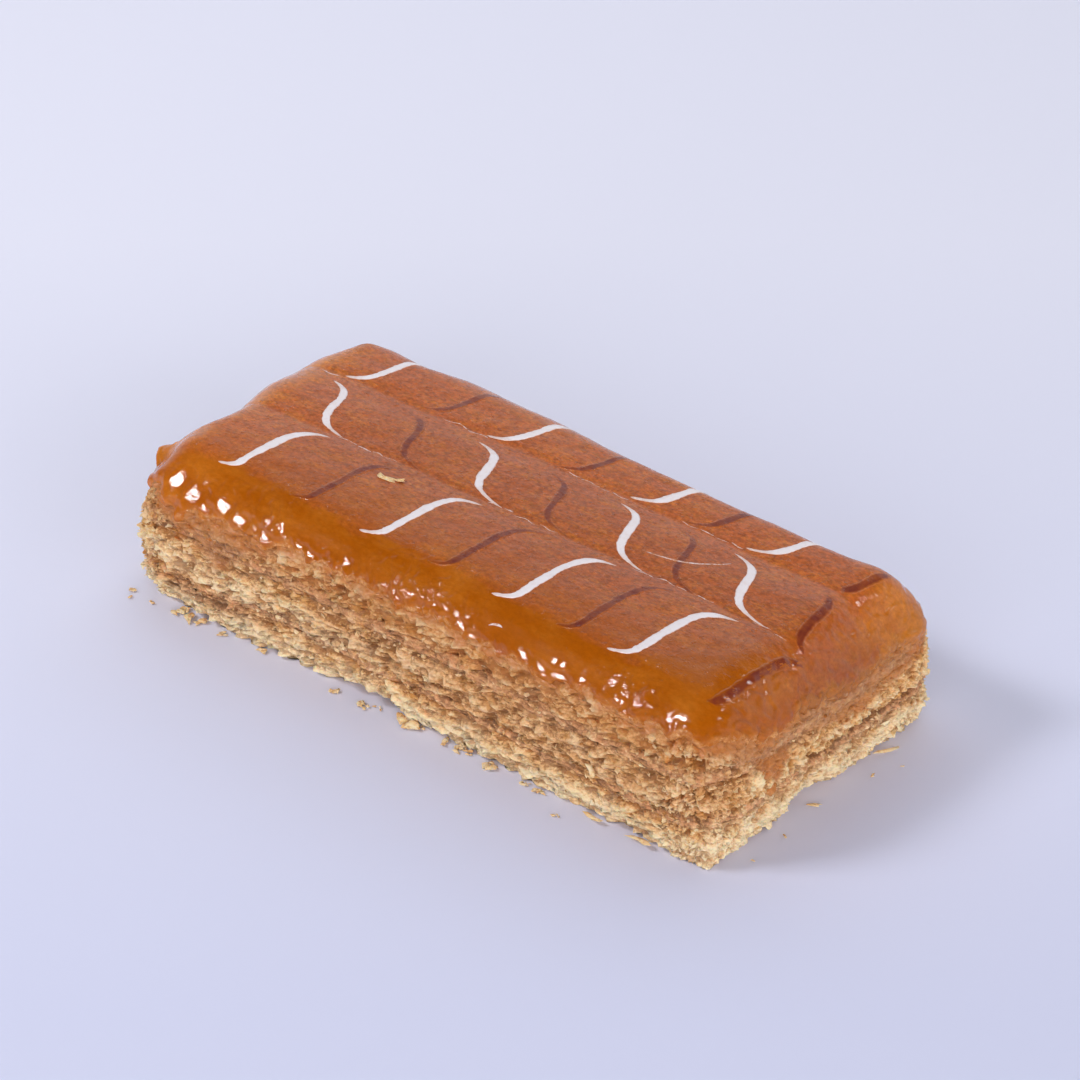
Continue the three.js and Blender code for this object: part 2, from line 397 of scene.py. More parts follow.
def plus(tree, *values, clamp=False):
    """The sum of several values, kept between 0 and 1 if clamp is set."""
    total = values[0]
    for value in values[1:]:
        total = math_node(tree, "ADD", total, value)
    total.node.use_clamp = clamp
    return total


def with_alpha(colour):
    """A colour as a socket takes it; a link stays as it is."""
    return colour if is_link(colour) else (*colour, 1.0)


def mix_colours(tree, share, first, second, blend="MIX"):
    """A blend of two colours."""
    feeds = {0: share, 6: with_alpha(first), 7: with_alpha(second)}
    node = add_node(tree, "ShaderNodeMix", feeds, data_type="RGBA", blend_type=blend)
    return node.outputs[2]


def remap(tree, value, low, high, new_low=0.0, new_high=1.0):
    """A value moved from one range to another, and kept inside it."""
    feeds = {0: value, 1: low, 2: high, 3: new_low, 4: new_high}
    return add_node(tree, "ShaderNodeMapRange", feeds).outputs[0]


def swing(tree, value, size, low=0.3, high=0.7):
    """A value between low and high, moved to run as far below 0 as above it."""
    return remap(tree, value, low, high, -size, size)


def vector_node(tree, operation, feeds):
    """A step of arithmetic on places."""
    return add_node(tree, "ShaderNodeVectorMath", feeds, operation=operation)


def object_place(tree):
    """The place on the piece, in the frame's own metres."""
    return add_node(tree, "ShaderNodeTexCoord").outputs["Object"]


def mapped(tree, place, sizes_in_mm):
    """A place measured in steps of a size per axis."""
    scale = [1.0 / (size * MM) for size in sizes_in_mm]
    return add_node(tree, "ShaderNodeMapping", {"Vector": place, "Scale": scale}).outputs[0]


def noise_node(tree, size, detail=2.0, roughness=0.5, stretch=(1.0, 1.0, 1.0)):
    """Noise on object coordinates, with features of a size in millimetres."""
    feeds = {
        "Vector": mapped(tree, object_place(tree), [size * s for s in stretch]),
        "Scale": 1.0,
        "Detail": detail,
        "Roughness": roughness,
    }
    return add_node(tree, "ShaderNodeTexNoise", feeds).outputs[0]


def attribute_node(tree, name):
    """The number stored at each vertex under a name."""
    node = add_node(tree, "ShaderNodeAttribute", attribute_name=name)
    return node.outputs["Fac"]


def ramp(tree, value, stops):
    """Colours along a value: each stop is a position and a colour."""
    node = add_node(tree, "ShaderNodeValToRGB", {0: value})
    elements = node.color_ramp.elements
    while len(elements) < len(stops):
        elements.new(0.5)
    for element, (position, colour) in zip(elements, stops):
        element.position = position
        element.color = with_alpha(colour)
    return node.outputs[0]


def toned(colour, factor):
    """A colour made darker, or lighter where the factor is above 1."""
    return [factor * part for part in colour]


def shaded(tree, colour, brightness):
    """A link's colour made darker or lighter by another link."""
    grey = add_node(tree, "ShaderNodeCombineXYZ", {0: brightness, 1: brightness, 2: brightness})
    return mix_colours(tree, 1.0, colour, grey.outputs[0], "MULTIPLY")


def new_material(name):
    """A material with only its shader and output."""
    material = bpy.data.materials.new(name)
    material.use_nodes = True
    tree = material.node_tree
    tree.nodes.clear()
    shader = add_node(tree, "ShaderNodeBsdfPrincipled")
    add_node(tree, "ShaderNodeOutputMaterial", {0: shader.outputs[0]})
    return material, tree, shader


def bump_node(tree, height, distance, strength, below=None):
    """A normal bent by a height, with its depth in millimetres."""
    feeds = {"Height": height, "Distance": distance * MM, "Strength": strength}
    if below is not None:
        feeds["Normal"] = below
    return add_node(tree, "ShaderNodeBump", feeds).outputs[0]


# ---- Settings a user would change ----


def length_setting(name, description, millimetres):
    """A length that a user may change."""
    return FloatProperty(
        name=name, description=description, default=millimetres * MM, unit="LENGTH"
    )


def colour_setting(name, description, colour):
    """A colour that a user may change."""
    return FloatVectorProperty(
        name=name, description=description, default=colour, subtype="COLOR"
    )


class PastrySizes(bpy.types.PropertyGroup):
    """Sizes of the flakes and the icing."""

    flake_length: length_setting("Flake length", "How long a flake is along the side", 1.25)
    flake_thickness: length_setting("Flake thickness", "How thick a flake is", 0.58)
    side_step: length_setting("Side step", "Distance between the vertices of the flaky sides", 0.21)
    white_width: length_setting("White line", "Width of the white icing lines", 1.6)
    brown_width: length_setting("Brown line", "Width of the brown icing lines", 1.75)
    loose_flakes: IntProperty(
        name="Loose flakes",
        description="How many thin flakes stand out from the sides",
        default=3900,
        min=1,
    )


class PastryColours(bpy.types.PropertyGroup):
    """Colours of the pastry, filling, glaze and icing, and of the floor."""

    # Painted light: this colour goes on the flakes that stand out from the side.
    pastry_painted_light: colour_setting(
        "Pastry, light", "Colour of the flakes that stand out", (0.96, 0.71, 0.41)
    )
    pastry_cream: colour_setting(
        "Pastry, cream", "Colour of the palest pastry", (1.0, 0.79, 0.51)
    )
    pastry_middle: colour_setting(
        "Pastry, middle", "Main colour of the pastry", (0.84, 0.47, 0.20)
    )
    # Painted shade: this colour goes deep between the flakes, where shade falls.
    pastry_painted_shade: colour_setting(
        "Pastry, dark", "Colour deep between the flakes", (0.42, 0.17, 0.05)
    )
    pastry_toasted: colour_setting(
        "Pastry, toasted", "Colour of the spots that baked browner", (0.72, 0.33, 0.08)
    )
    soaked: colour_setting(
        "Pastry, soaked", "Colour of pastry that has taken up glaze", (0.50, 0.17, 0.04)
    )
    lip: colour_setting(
        "Glaze, lip", "Colour of the crumbs in the glaze's lower edge", (0.80, 0.40, 0.15)
    )
    filling: colour_setting("Filling", "Colour of the filling", (0.56, 0.260, 0.120))
    glaze: colour_setting(
        "Glaze", "Colour of the glaze where it lies thick and clear", (0.375, 0.086, 0.002)
    )
    glaze_top: colour_setting(
        "Glaze, top", "Colour of the glaze brushed out on the top", (0.405, 0.094, 0.020)
    )
    glaze_thin: colour_setting(
        "Glaze, thin", "Colour of the glaze where it is thin", (0.54, 0.172, 0.018)
    )
    white_icing: colour_setting("White icing", "Colour of the white icing", (0.86, 0.80, 0.84))
    brown_icing: colour_setting("Brown icing", "Colour of the brown icing", (0.175, 0.028, 0.015))
    # Painted light: the floor is given a darker colour in front and a lighter one behind the slice.
    floor: colour_setting("Floor", "Colour of the floor", (0.68, 0.705, 0.92))
    floor_back_painted_light: colour_setting(
        "Floor, behind", "Colour of the floor behind the slice", (0.83, 0.84, 0.99)
    )


def sizes():
    """The sizes as they are set in the scene."""
    return bpy.context.scene.pastry_sizes


def colours():
    """The colours as they are set in the scene."""
    return bpy.context.scene.pastry_colours


# ---- Pieces ----


def start_piece():
    """Leaves nothing selected, so that the next operators act on one piece."""
    if bpy.context.object is not None and bpy.context.object.mode != "OBJECT":
        bpy.ops.object.mode_set(mode="OBJECT")
    bpy.ops.object.select_all(action="DESELECT")


def finish_piece(piece, material, nodes=()):
    """Gives a piece its material, and ties it to the frame."""
    piece.data.materials.clear()
    piece.data.materials.append(material)
    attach(piece, "root")
    if nodes:
        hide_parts(*nodes)


def joined(pieces, name):
    """One piece made of several."""
    start_piece()
    for piece in pieces:
        piece.select_set(True)
    bpy.context.view_layer.objects.active = pieces[0]
    bpy.ops.object.join()
    piece = bpy.context.object
    piece.name = name
    piece.data.name = name
    bpy.ops.object.shade_smooth()
    return piece


def select_edges(mesh, test):
    """Selects the edges whose two ends, in millimetres, pass a test."""
    bpy.ops.mesh.select_all(action="DESELECT")
    bpy.ops.mesh.select_mode(type="EDGE")
    bpy.ops.object.mode_set(mode="OBJECT")
    points = read_points(mesh)
    ends = np.empty(2 * len(mesh.edges), np.int32)
    mesh.edges.foreach_get("vertices", ends)
    first, second = points[ends.reshape(-1, 2)].transpose(1, 0, 2)
    mesh.edges.foreach_set("select", test(first, second))
    bpy.ops.object.mode_set(mode="EDIT")


STRAIGHT = 1e-3  # how far, in millimetres, an edge that counts as straight may lean


def edge_runs(axis, least):
    """A test for edges longer than least that run along one axis."""

    def test(first, second):
        run = np.abs(second - first)
        others = np.delete(run, axis, axis=1).max(axis=1)
        return (run[:, axis] > least) & (others < STRAIGHT)

    return test


CAP_RIM = 2.6  # width of the rim of a layer's top and bottom that moves with its side
CAP_CUTS = 5  # how many loops that rim is cut into
UPRIGHT = edge_runs(2, 0.1)  # the edges that stand between a layer's bottom and top


def cap_spokes(first, second):
    """A test for the edges between a cap's rim and its inset loop."""
    run = second - first
    across = np.abs((run[:, :2] * outward((first + second) / 2)).sum(axis=1))
    return (across > CAP_RIM - 0.6) & (np.abs(run[:, 2]) < STRAIGHT)


def layer_block(name, low, high, step):
    """A flat block with round corners whose sides are cut into small squares."""
    start_piece()
    bpy.ops.mesh.primitive_cube_add(size=1.0)
    block = bpy.context.object
    block.name = name
    block.data.name = name
    bpy.ops.object.mode_set(mode="EDIT")
    size = (2 * HALF_LENGTH * MM, 2 * HALF_WIDTH * MM, (high - low) * MM)
    bpy.ops.transform.resize(value=size)
    bpy.ops.transform.translate(value=(0.0, 0.0, (low + high) / 2 * MM))
    select_edges(block.data, UPRIGHT)
    arc = CORNER_RADIUS * math.pi / 2
    segments = round(arc / step)
    bpy.ops.mesh.bevel(offset=CORNER_RADIUS * MM, segments=segments, affect="EDGES")
    bpy.ops.mesh.select_mode(type="FACE")
    bpy.ops.mesh.select_all(action="DESELECT")
    bpy.ops.object.mode_set(mode="OBJECT")
    for face in block.data.polygons:
        face.select = abs(face.normal.z) > 0.9
    bpy.ops.object.mode_set(mode="EDIT")
    bpy.ops.mesh.inset(thickness=CAP_RIM * MM, use_even_offset=True)
    for axis, half in ((0, HALF_LENGTH), (1, HALF_WIDTH)):
        select_edges(block.data, edge_runs(axis, half))
        run = 2 * (half - CORNER_RADIUS)
        bpy.ops.mesh.subdivide(number_cuts=round(run / step) - 1)
    select_edges(block.data, UPRIGHT)
    bpy.ops.mesh.subdivide(number_cuts=round((high - low) / step) - 1)
    select_edges(block.data, cap_spokes)
    bpy.ops.mesh.subdivide(number_cuts=CAP_CUTS)
    bpy.ops.object.mode_set(mode="OBJECT")
    return block


# ---- Flaky sides ----

SWELL_RISE = (12.0, 19.0)  # heights between which the top's swell comes in
SWELL_WAVES = (Wave(0.45, 12.0, 29.0),)
CRACK_WIGGLE = (Wave(0.6, 3.0, 91.0),)
CRACK_BREAKS = (Wave(1.0, (2.6, 2.6, 4.0), 93.0),)
CRACK_FADE = 2.0  # how far from its ends a crack fades
CRACK_REACH = 6.0  # how far aside of its line a crack is felt
LAYER_SAG = 1.7  # how far the layers sag near the left foot
LAYER_HUMP = 0.6  # how far the layers above that sag hump up
LAYER_WAVES = (Wave(0.45, (24.0, 24.0, 60.0), 3.0),)
EDGE_WAVES = (Wave(0.6, 9.0, 41.0), Wave(0.8, 3.0, 43.0), Wave(0.5, 1.3, 44.0))


def side_inset(points):
    """How far the side lies back: at the foot, in its dents and on the shoulder."""
    height = points[:, 2]
    widening = np.clip(1.0 - height / FOOT_HEIGHT, 0.0, 1.0)
    inset = FOOT_INSET * widening**2
    for dent in FOOT_DENTS:
        fade = np.clip(1.0 - height / dent.top, 0.0, 1.0)
        inset += dent.depth * fade * bump(points, dent.place, dent.reach)
    above = np.clip(height - SHOULDER_CENTRE, 0.0, SHOULDER_RADIUS)
    inset += SHOULDER_RADIUS - np.sqrt(SHOULDER_RADIUS**2 - above**2)
    return inset - edge_swell(points) * smooth_step(height, *SWELL_RISE)


def edge_swell(points):
    """How far the top's edge stands out or lies back."""
    swell = waves(points * LEVEL, SWELL_WAVES)
    for each in SWELLS:
        swell += each.size * bump(points, each.place, each.reach)
    return swell


def crack_depth(points):
    """How far the side lies back where two layers gape."""
    depth = np.zeros(len(points))
    wiggle = waves(points * LEVEL, CRACK_WIGGLE)
    breaks = waves(points, CRACK_BREAKS)
    for crack in CRACKS:
        start, end = np.array(crack.start), np.array(crack.end)
        length = np.linalg.norm(end - start)
        ahead = (end - start) / length
        offset = points[:, :2] - start
        along = offset @ ahead
        aside = np.abs(offset @ np.array((-ahead[1], ahead[0])))
        share = smooth_step(along, -CRACK_FADE, CRACK_FADE) * (aside < CRACK_REACH)
        share *= fade_out(along, length - CRACK_FADE, length + CRACK_FADE)
        whole = smooth_step(breaks, -0.1 * crack.broken, 0.35)
        share *= 1.0 - crack.broken * (1.0 - whole)
        depth += crack.depth * share * bell(points[:, 2], crack.height + wiggle, crack.spread)
    return depth


def layer_shift(points):
    """How far the layers lie up or down, along the slice."""
    along, across, height = points.T
    near = fade_out(across, -20.0, 0.0)
    low = bell(height, 7.0, 4.0)
    sag = LAYER_SAG * near * low * fade_out(along, -44.0, -26.0)
    hump = LAYER_HUMP * near * (1.0 - low) * bell(along, -38.0, 10.0)
    middle = smooth_step(height, 0.5, 5.0) * fade_out(height, 16.0, 21.0)
    return middle * (hump - sag + waves(points, LAYER_WAVES))


def glaze_edge(places):
    """The height of the glaze's lower edge at places on the outline."""
    flat = places * LEVEL
    edge = GLAZE_EDGE + waves(flat, EDGE_WAVES)
    for run in GLAZE_RUNS:
        edge -= run.drop * bump(flat, run.place, run.reach)
    return edge


# Sizes of three scales of flakes, as shares of a flake's length and thickness,
# with how far they stand out, how round they are, how much they lean and how
# deep the clefts between them are, in millimetres.
Flakes = namedtuple("Flakes", "length height stand dome lean cleft")
FLAKE_SCALES = (
    Flakes(1.6, 2.2, 0.38, 0.34, 0.18, 0.22),
    Flakes(0.85, 1.35, 0.36, 0.30, 0.22, 0.34),
    Flakes(0.44, 0.80, 0.26, 0.22, 0.12, 0.20),
)


CLEFT_WIDTH = 0.10  # how wide the clefts between flakes are, as a share of a flake
DOME_REACH = 0.65  # how far from its middle a flake is domed, as a share of a flake
TONE_RANGE = 2.4  # keeps the shade of a flake, summed over the three scales, near 1
BEND_SEEDS = (11.0, 23.0, 37.0)
BEND_SIZE = 1.6  # size of the bends in the flakes
BEND_REACH = (0.8, 0.8, 0.65)  # how far the flakes are bent along, across and up
# Gaps between flakes, and long seams: how deep, their size and seed.
GAPS = (Wave(1.5, (1.9, 1.9, 1.0), 51.0), Wave(0.5, (4.6, 4.6, 0.8), 57.0))
GAP_EDGE = (0.34, 0.60)  # the noise at which a gap starts and is at its deepest
BENT_WAVES = (Wave(0.15, (7.0, 7.0, 1.3), 59.0),)
SIDE_WAVES = (Wave(0.45, (5.0, 5.0, 4.0), 61.0), Wave(0.35, 1.3, 67.0), Wave(0.26, 0.6, 71.0))


def cell_numbers(centres, spread, shift):
    """A random number for each flake, the same all over it."""
    return np.array([noise.cell(place) for place in (centres * spread + shift).tolist()])


def flake_relief(points, seed):
    """How far each point of a flaky side stands out, and how light its flake is."""
    size = sizes()
    length, thick = size.flake_length / MM, size.flake_thickness / MM
    bend = np.stack([noise_at(points, BEND_SIZE, seed + each) for each in BEND_SEEDS], axis=1)
    bent = points + bend * BEND_REACH
    relief = np.zeros(len(points))
    tone = np.zeros(len(points))
    for scale in FLAKE_SCALES:
        grain = np.array((length, length, thick)) * (scale.length, scale.length, scale.height)
        places = bent / grain + seed
        cells = [noise.voronoi(place) for place in places.tolist()]
        centres = np.array([cell[1][0] for cell in cells])
        nearest, second = np.array([cell[0][:2] for cell in cells]).T
        chance = cell_numbers(centres, 17.3, 5.0)
        lean = cell_numbers(centres, 29.1, -3.0)
        rise = places[:, 2] - centres[:, 2]
        relief += scale.stand * chance + scale.lean * lean * rise
        relief += scale.dome * (0.5 - np.clip(nearest / DOME_REACH, 0.0, 1.0) ** 2)
        relief -= scale.cleft * np.exp(-(second - nearest) / CLEFT_WIDTH)
        tone += scale.length * lean / TONE_RANGE
    for gap in GAPS:
        relief -= gap.height * smooth_step(noise_at(bent, gap.size, seed + gap.seed), *GAP_EDGE)
    relief += waves(bent, BENT_WAVES, seed) + waves(points, SIDE_WAVES, seed)
    return relief, tone


# Painted shade and light: the pastry is coloured darkest where its side lies deepest and lightest where
# it stands out.
RELIEF_RANGE = (-1.15, 0.80)  # the relief at which pastry is at its darkest and lightest
SOAK_WAVES = (Wave(1.1, (2.6, 2.6, 1.6), 45.0), Wave(0.6, 0.9, 46.0))
SOAK_BAND = (-1.8, 0.1)  # from dry to soaked, measured up from the glaze's edge
AMBER_SHARE = 0.38  # how much of the soaked colour the whole top sheet has taken
AMBER_WAVES = (Wave(1.0, (4.0, 4.0, 2.0), 48.0),)
STAIN_PATCHES = (Wave(1.0, (5.0, 5.0, 1.2), 47.0),)
CREAM_WAVES = (Wave(0.6, (3.5, 3.5, 1.8), 49.0),)


def soaking(places, points):
    """How far pastry has taken up glaze: 1 at the glaze's edge, and 0 well below."""
    edge = glaze_edge(places)
    for run in SOAK_RUNS:
        edge -= run.drop * bump(places, run.place, run.reach)
    low, high = SOAK_BAND
    return smooth_step(points[:, 2] + waves(points, SOAK_WAVES), edge + low, edge + high)


def browning(points):
    """How far the top sheet has turned amber, which it does a little all over."""
    return AMBER_SHARE * smooth_step(points[:, 2] + waves(points, AMBER_WAVES), *UPPER_FILLING)


def staining(points):
    """How far pastry is stained by a filling close to it."""
    along, across, height = points.T
    patch = smooth_step(waves(points, STAIN_PATCHES), -0.30, 0.25)
    stain = np.zeros(len(points))
    for low, high in (LOWER_FILLING, UPPER_FILLING):
        stain += 0.8 * bell(height, (low + high) / 2, 1.1) * patch
    middle = smooth_step(height, 7.4, 9.0) * fade_out(height, 12.5, 14.5)
    stain += 0.45 * middle * smooth_step(along, -30.0, -10.0) * fade_out(across, -26.0, -18.0)
    for spot in STAINS:
        ragged = spot.strength * (0.75 + 0.5 * patch)
        stain += ragged * bump(points, spot.place, spot.reach) * bell(height, spot.height, spot.spread)
    return np.clip(stain, 0.0, 1.0)


def creaminess_and_painted_light(points):
    """How much paler the pastry is: at the foot and the lower right end, partly its own paler colour
    and partly painted light against the shade low down, and in the near left middle.
    """
    along, across, height = points.T
    right = smooth_step(along, 55.0, 58.0)
    # Partly painted light: the foot and the lower right end are made paler against the shade that falls
    # low down.
    foot = fade_out(height, 1.5, 6.5) * (1.0 - 0.4 * right * smooth_step(across, -20.0, -14.0))
    end = 0.4 * right * fade_out(height, 6.0, 11.0)
    middle = smooth_step(height, 6.0, 7.4) * fade_out(height, 9.6, 12.2)
    middle *= 0.5 * fade_out(across, -26.0, -18.0) * fade_out(along, -12.0, 4.0)
    return np.clip(middle + foot + end + waves(points, CREAM_WAVES), 0.0, 1.0)


SEAM = 0.3  # how far, and over what height, a layer's side lies back at its two rims
LIFT_WAVES = (Wave(0.25, (1.8, 1.8, 3.0), 81.0),)


def flaky_layer(name, heights, seed, softness=0.0, recess=0.0):
    """A layer whose sides are broken into flakes, or smeared where it is soft."""
    low, high = heights
    block = layer_block(name, low, high, sizes().side_step / MM)
    points = read_points(block.data)
    relief, tone = flake_relief(points, seed)
    soak = soaking(on_outline(points), points)
    stain = staining(points)
    rim = np.minimum(points[:, 2] - low, high - points[:, 2])
    calm = 1.0 - 0.25 * smooth_step(points[:, 0], 54.0, 58.0)
    stand = relief * (1.0 - softness) * (1.0 - 0.35 * soak) * calm - recess
    stand += BULGE * (4.0 * rim / (high - low) - 1.0) * (1.0 - soak) * (1.0 - softness)
    stand -= SEAM * np.exp(-rim / SEAM) + crack_depth(points)
    reach = np.linalg.norm(past_core(points), axis=1)
    share = smooth_step(reach, CORNER_RADIUS - CAP_RIM + 0.1, CORNER_RADIUS)
    move = np.clip(stand, -CAP_RIM + 0.2, 1.0) * share - side_inset(points)
    points[:, :2] += outward(points) * move[:, None]
    lift = waves(points, LIFT_WAVES, seed) * share
    on_floor = points[:, 2] < 0.01
    points[:, 2] += layer_shift(points) + np.where(on_floor, 0.0, lift)
    points[:, 2] = np.maximum(points[:, 2], 0.0)
    write_points(block.data, points)
    # The relief is kept for the material, which paints shade in the hollows and light on the flakes
    # that stand out.
    deep, proud = RELIEF_RANGE
    level = np.clip((stand + recess - deep) / (proud - deep), 0.0, 1.0)
    write_values(block.data, relief=level, tone=tone, stain=stain)
    write_values(block.data, soak=np.maximum(soak, browning(points)), cream=creaminess_and_painted_light(points))
    bpy.ops.object.shade_smooth()
    return block


CHIP_SIZE = (0.80, 0.80, 0.42)  # the smallest chips of pastry, in millimetres
CHIP_BEND = 0.9  # how far their edges are bent, in millimetres, and how often in one


def chip_cells(tree):
    """The smallest chips of pastry: their dome, the crease round them, a random number."""
    place = object_place(tree)
    feeds = {"Vector": place, "Scale": CHIP_BEND / MM, "Detail": 2.0}
    warp = add_node(tree, "ShaderNodeTexNoise", feeds)
    off = vector_node(tree, "SUBTRACT", {0: warp.outputs[1], 1: [0.5] * 3})
    off = vector_node(tree, "SCALE", {0: off.outputs[0], "Scale": CHIP_BEND * MM})
    moved = vector_node(tree, "ADD", {0: place, 1: off.outputs[0]})
    feeds = {"Vector": mapped(tree, moved.outputs[0], CHIP_SIZE), "Scale": 1.0}
    cells = add_node(tree, "ShaderNodeTexVoronoi", feeds)
    dome = less(tree, 1.0, cells.outputs["Distance"])
    crease = remap(tree, cells.outputs["Distance"], 0.42, 0.78)
    chance = add_node(tree, "ShaderNodeSeparateColor", {0: cells.outputs["Color"]}).outputs[0]
    return dome, crease, chance


def flake_level(tree, crease, chance):
    """How far out a spot of pastry stands, which sets how light it is: painted shade where it lies deep
    or in a crease, painted light where it stands out.
    """
    return plus(
        tree,
        attribute_node(tree, "relief"),
        swing(tree, noise_node(tree, 0.5, 3.0, 0.7), 0.17),
        swing(tree, noise_node(tree, 1.4, 2.0, 0.6), 0.10),
        swing(tree, attribute_node(tree, "tone"), 0.10, -1.0, 1.0),
        # Painted shade in the creases round the chips.
        remap(tree, crease, 0.0, 1.0, 0.03, -0.16),
        swing(tree, chance, 0.10, 0.0, 1.0),
    )


def baked_colour(tree, level):
    """Baked pastry: painted shade between the flakes and painted light on those that stand out, with
    toasted spots and creamy places.
    """
    tint = colours()
    stops = ((0.18, tint.pastry_painted_shade), (0.50, tint.pastry_middle), (0.82, tint.pastry_painted_light))
    toast = remap(tree, noise_node(tree, 2.4, 3.0, 0.6), 0.52, 0.66, 0.0, 0.60)
    colour = mix_colours(tree, toast, ramp(tree, level, stops), tint.pastry_toasted)
    # The cream share, partly painted light at the foot, fills the shallower spots with cream.
    pale = times(tree, attribute_node(tree, "cream"), remap(tree, level, 0.2, 0.65, 0.4, 1.0))
    return mix_colours(tree, pale, colour, tint.pastry_cream)


def filling_colour(tree, level):
    """Brown filling, with painted shade in its hollows and painted light where it stands out."""
    brown = colours().filling
    stops = ((0.15, toned(brown, 0.45)), (0.50, brown), (0.95, toned(brown, 1.5)))
    return ramp(tree, level, stops)


def pastry_material(name, filled):
    """Flaky baked pastry, or filling with crumbs in it."""
    material, tree, shader = new_material(name)
    soak = attribute_node(tree, "soak")
    stain = attribute_node(tree, "stain")
    dome, crease, chance = chip_cells(tree)
    level = flake_level(tree, crease, chance)
    if filled:
        smear = remap(tree, noise_node(tree, 1.1, 3.0, 0.6), 0.48, 0.64, 0.90, 0.10)
    else:
        smear = times(tree, stain, 0.75)
    colour = mix_colours(tree, smear, baked_colour(tree, level), filling_colour(tree, level))
    soaked = colours().soaked
    glazed = times(tree, soak, less(tree, 0.92, times(tree, stain, 0.5)))
    glaze = mix_colours(tree, stain, soaked, toned(soaked, 0.62))
    grain = noise_node(tree, 0.30, 4.0, 0.7)
    depth = remap(tree, soak, 0.3, 1.0, 1.0, 0.55)
    bent = bump_node(tree, times(tree, grain, depth), 0.16, 0.7)
    feed(tree, shader, {
        "Base Color": mix_colours(tree, glazed, colour, glaze),
        "Roughness": remap(tree, soak, 0.35, 0.95, 0.75, 0.28),
        "Specular IOR Level": 0.25,
        "Subsurface Weight": 0.25,
        "Subsurface Radius": (1.0, 0.6, 0.3),
        "Subsurface Scale": 1.0 * MM,
        "Normal": bump_node(tree, times(tree, dome, depth), 0.32, 0.9, bent),
    })
    return material


class MESH_OT_pastry_sheets(bpy.types.Operator):
    """Build the three flaky sheets of puff pastry"""

    bl_idname = "mesh.pastry_sheets"
    bl_label = "Pastry sheets"

    def execute(self, context):
        material = pastry_material("flaky pastry", False)
        for name, heights, seed, slot, node in (
            ("bottom_sheet", BOTTOM_SHEET, 1.0, "pastry", "pastry_bottom"),
            ("middle_sheet", MIDDLE_SHEET, 7.0, "pastry_pale", "pastry_middle"),
            ("top_sheet", TOP_SHEET, 13.0, "pastry_browned", "pastry_top"),
        ):
            sheet = flaky_layer(name, heights, seed)
            finish_piece(sheet, material, (node,))
        return {"FINISHED"}


class MESH_OT_pastry_fillings(bpy.types.Operator):
    """Build the two thin fillings between the sheets"""

    bl_idname = "mesh.pastry_fillings"
    bl_label = "Fillings"

    def execute(self, context):
        material = pastry_material("brown filling", True)
        for name, heights, seed, node in (
            ("lower_filling", LOWER_FILLING, 3.0, "filling_lower"),
            ("upper_filling", UPPER_FILLING, 5.0, "filling_upper"),
        ):
            band = flaky_layer(name, heights, seed, softness=0.45, recess=0.25)
            finish_piece(band, material, (node,))
        return {"FINISHED"}


# ---- Glaze ----

SHEET_STEPS = np.array((340, 180))  # squares of the glaze's sheet, along and across
SKIRT_ROWS = 52  # rows of the glaze's rim on each side
UNDER_ROWS = 6  # rows of its hidden underside
UNDER_GROWTH = 0.01  # how much wider each of those is first drawn than the last
UNDER_DEPTH = -0.6  # how far they lie inside the glaze's surface
LIP_DEPTH = -0.35  # the lip ends just inside the pastry


def blank_sheet(name):
    """A flat rectangle of squares, closed below through rows that are turned in."""
    start_piece()
    columns, rows = SHEET_STEPS.tolist()
    bpy.ops.mesh.primitive_grid_add(x_subdivisions=columns, y_subdivisions=rows, size=2.0 * MM)
    sheet = bpy.context.object
    sheet.name = name
    sheet.data.name = name
    bpy.ops.object.mode_set(mode="EDIT")
    for row in range(UNDER_ROWS):
        grown = 1.0 + UNDER_GROWTH * row

        def at_rim(first, second, rim=grown - UNDER_GROWTH / 20):
            reach = [np.abs(end[:, :2]).max(axis=1) for end in (first, second)]
            return np.minimum(*reach) > rim

        select_edges(sheet.data, at_rim)
        bpy.ops.mesh.extrude_region_move()
        factor = (grown + UNDER_GROWTH) / grown
        bpy.ops.transform.resize(value=(factor, factor, 1.0))
    bpy.ops.mesh.edge_face_add()
    bpy.ops.object.mode_set(mode="OBJECT")
    return sheet


def crown_height(points):
    """How far the top rises from its shoulders towards its middle."""
    share = points[:, :2] / (HALF_LENGTH, HALF_WIDTH)
    return CROWN * np.clip((1.0 - share[:, 0] ** 2) * (1.0 - share[:, 1] ** 2), 0.0, 1.0)


TOP_WAVES = (
    Wave(0.20, (13.0, 6.0, 20.0), 31.0),
    Wave(0.08, (3.6, 2.2, 2.2), 33.0),
    Wave(0.035, (1.4, 0.9, 0.9), 34.0),
)
PILLOW = 0.40  # how far each panel between two drags swells up
GROOVE_ENDS = (48.0, 57.0)  # where, along the slice, the drawn grooves run out


def top_relief(points):
    """The drawn grooves and the soft swellings of the glaze's flat top."""
    along, across = points[:, 0], points[:, 1]
    relief = waves(points, TOP_WAVES)
    for near, far in zip(DRAGS, DRAGS[1:]):
        low, high = (drag.height + drag.slope * along for drag in (near, far))
        share = (2.0 * across - low - high) / (high - low)
        relief += PILLOW * np.clip(1.0 - share**2, 0.0, 1.0)
    for drag in DRAGS[1:3]:
        middle = drag.height + drag.slope * along
        middle += 0.9 * noise_at(points * (1.0, 0.0, 0.0), 16.0, drag.height)
        off = np.abs(across - middle)
        groove = 0.17 * np.exp(-off / 2.2) + 0.05 * bell(off, 0.0, 0.35) - 0.03 * bell(off, 1.1, 0.4)
        relief -= fade_out(np.abs(along), *GROOVE_ENDS) * groove
    return relief


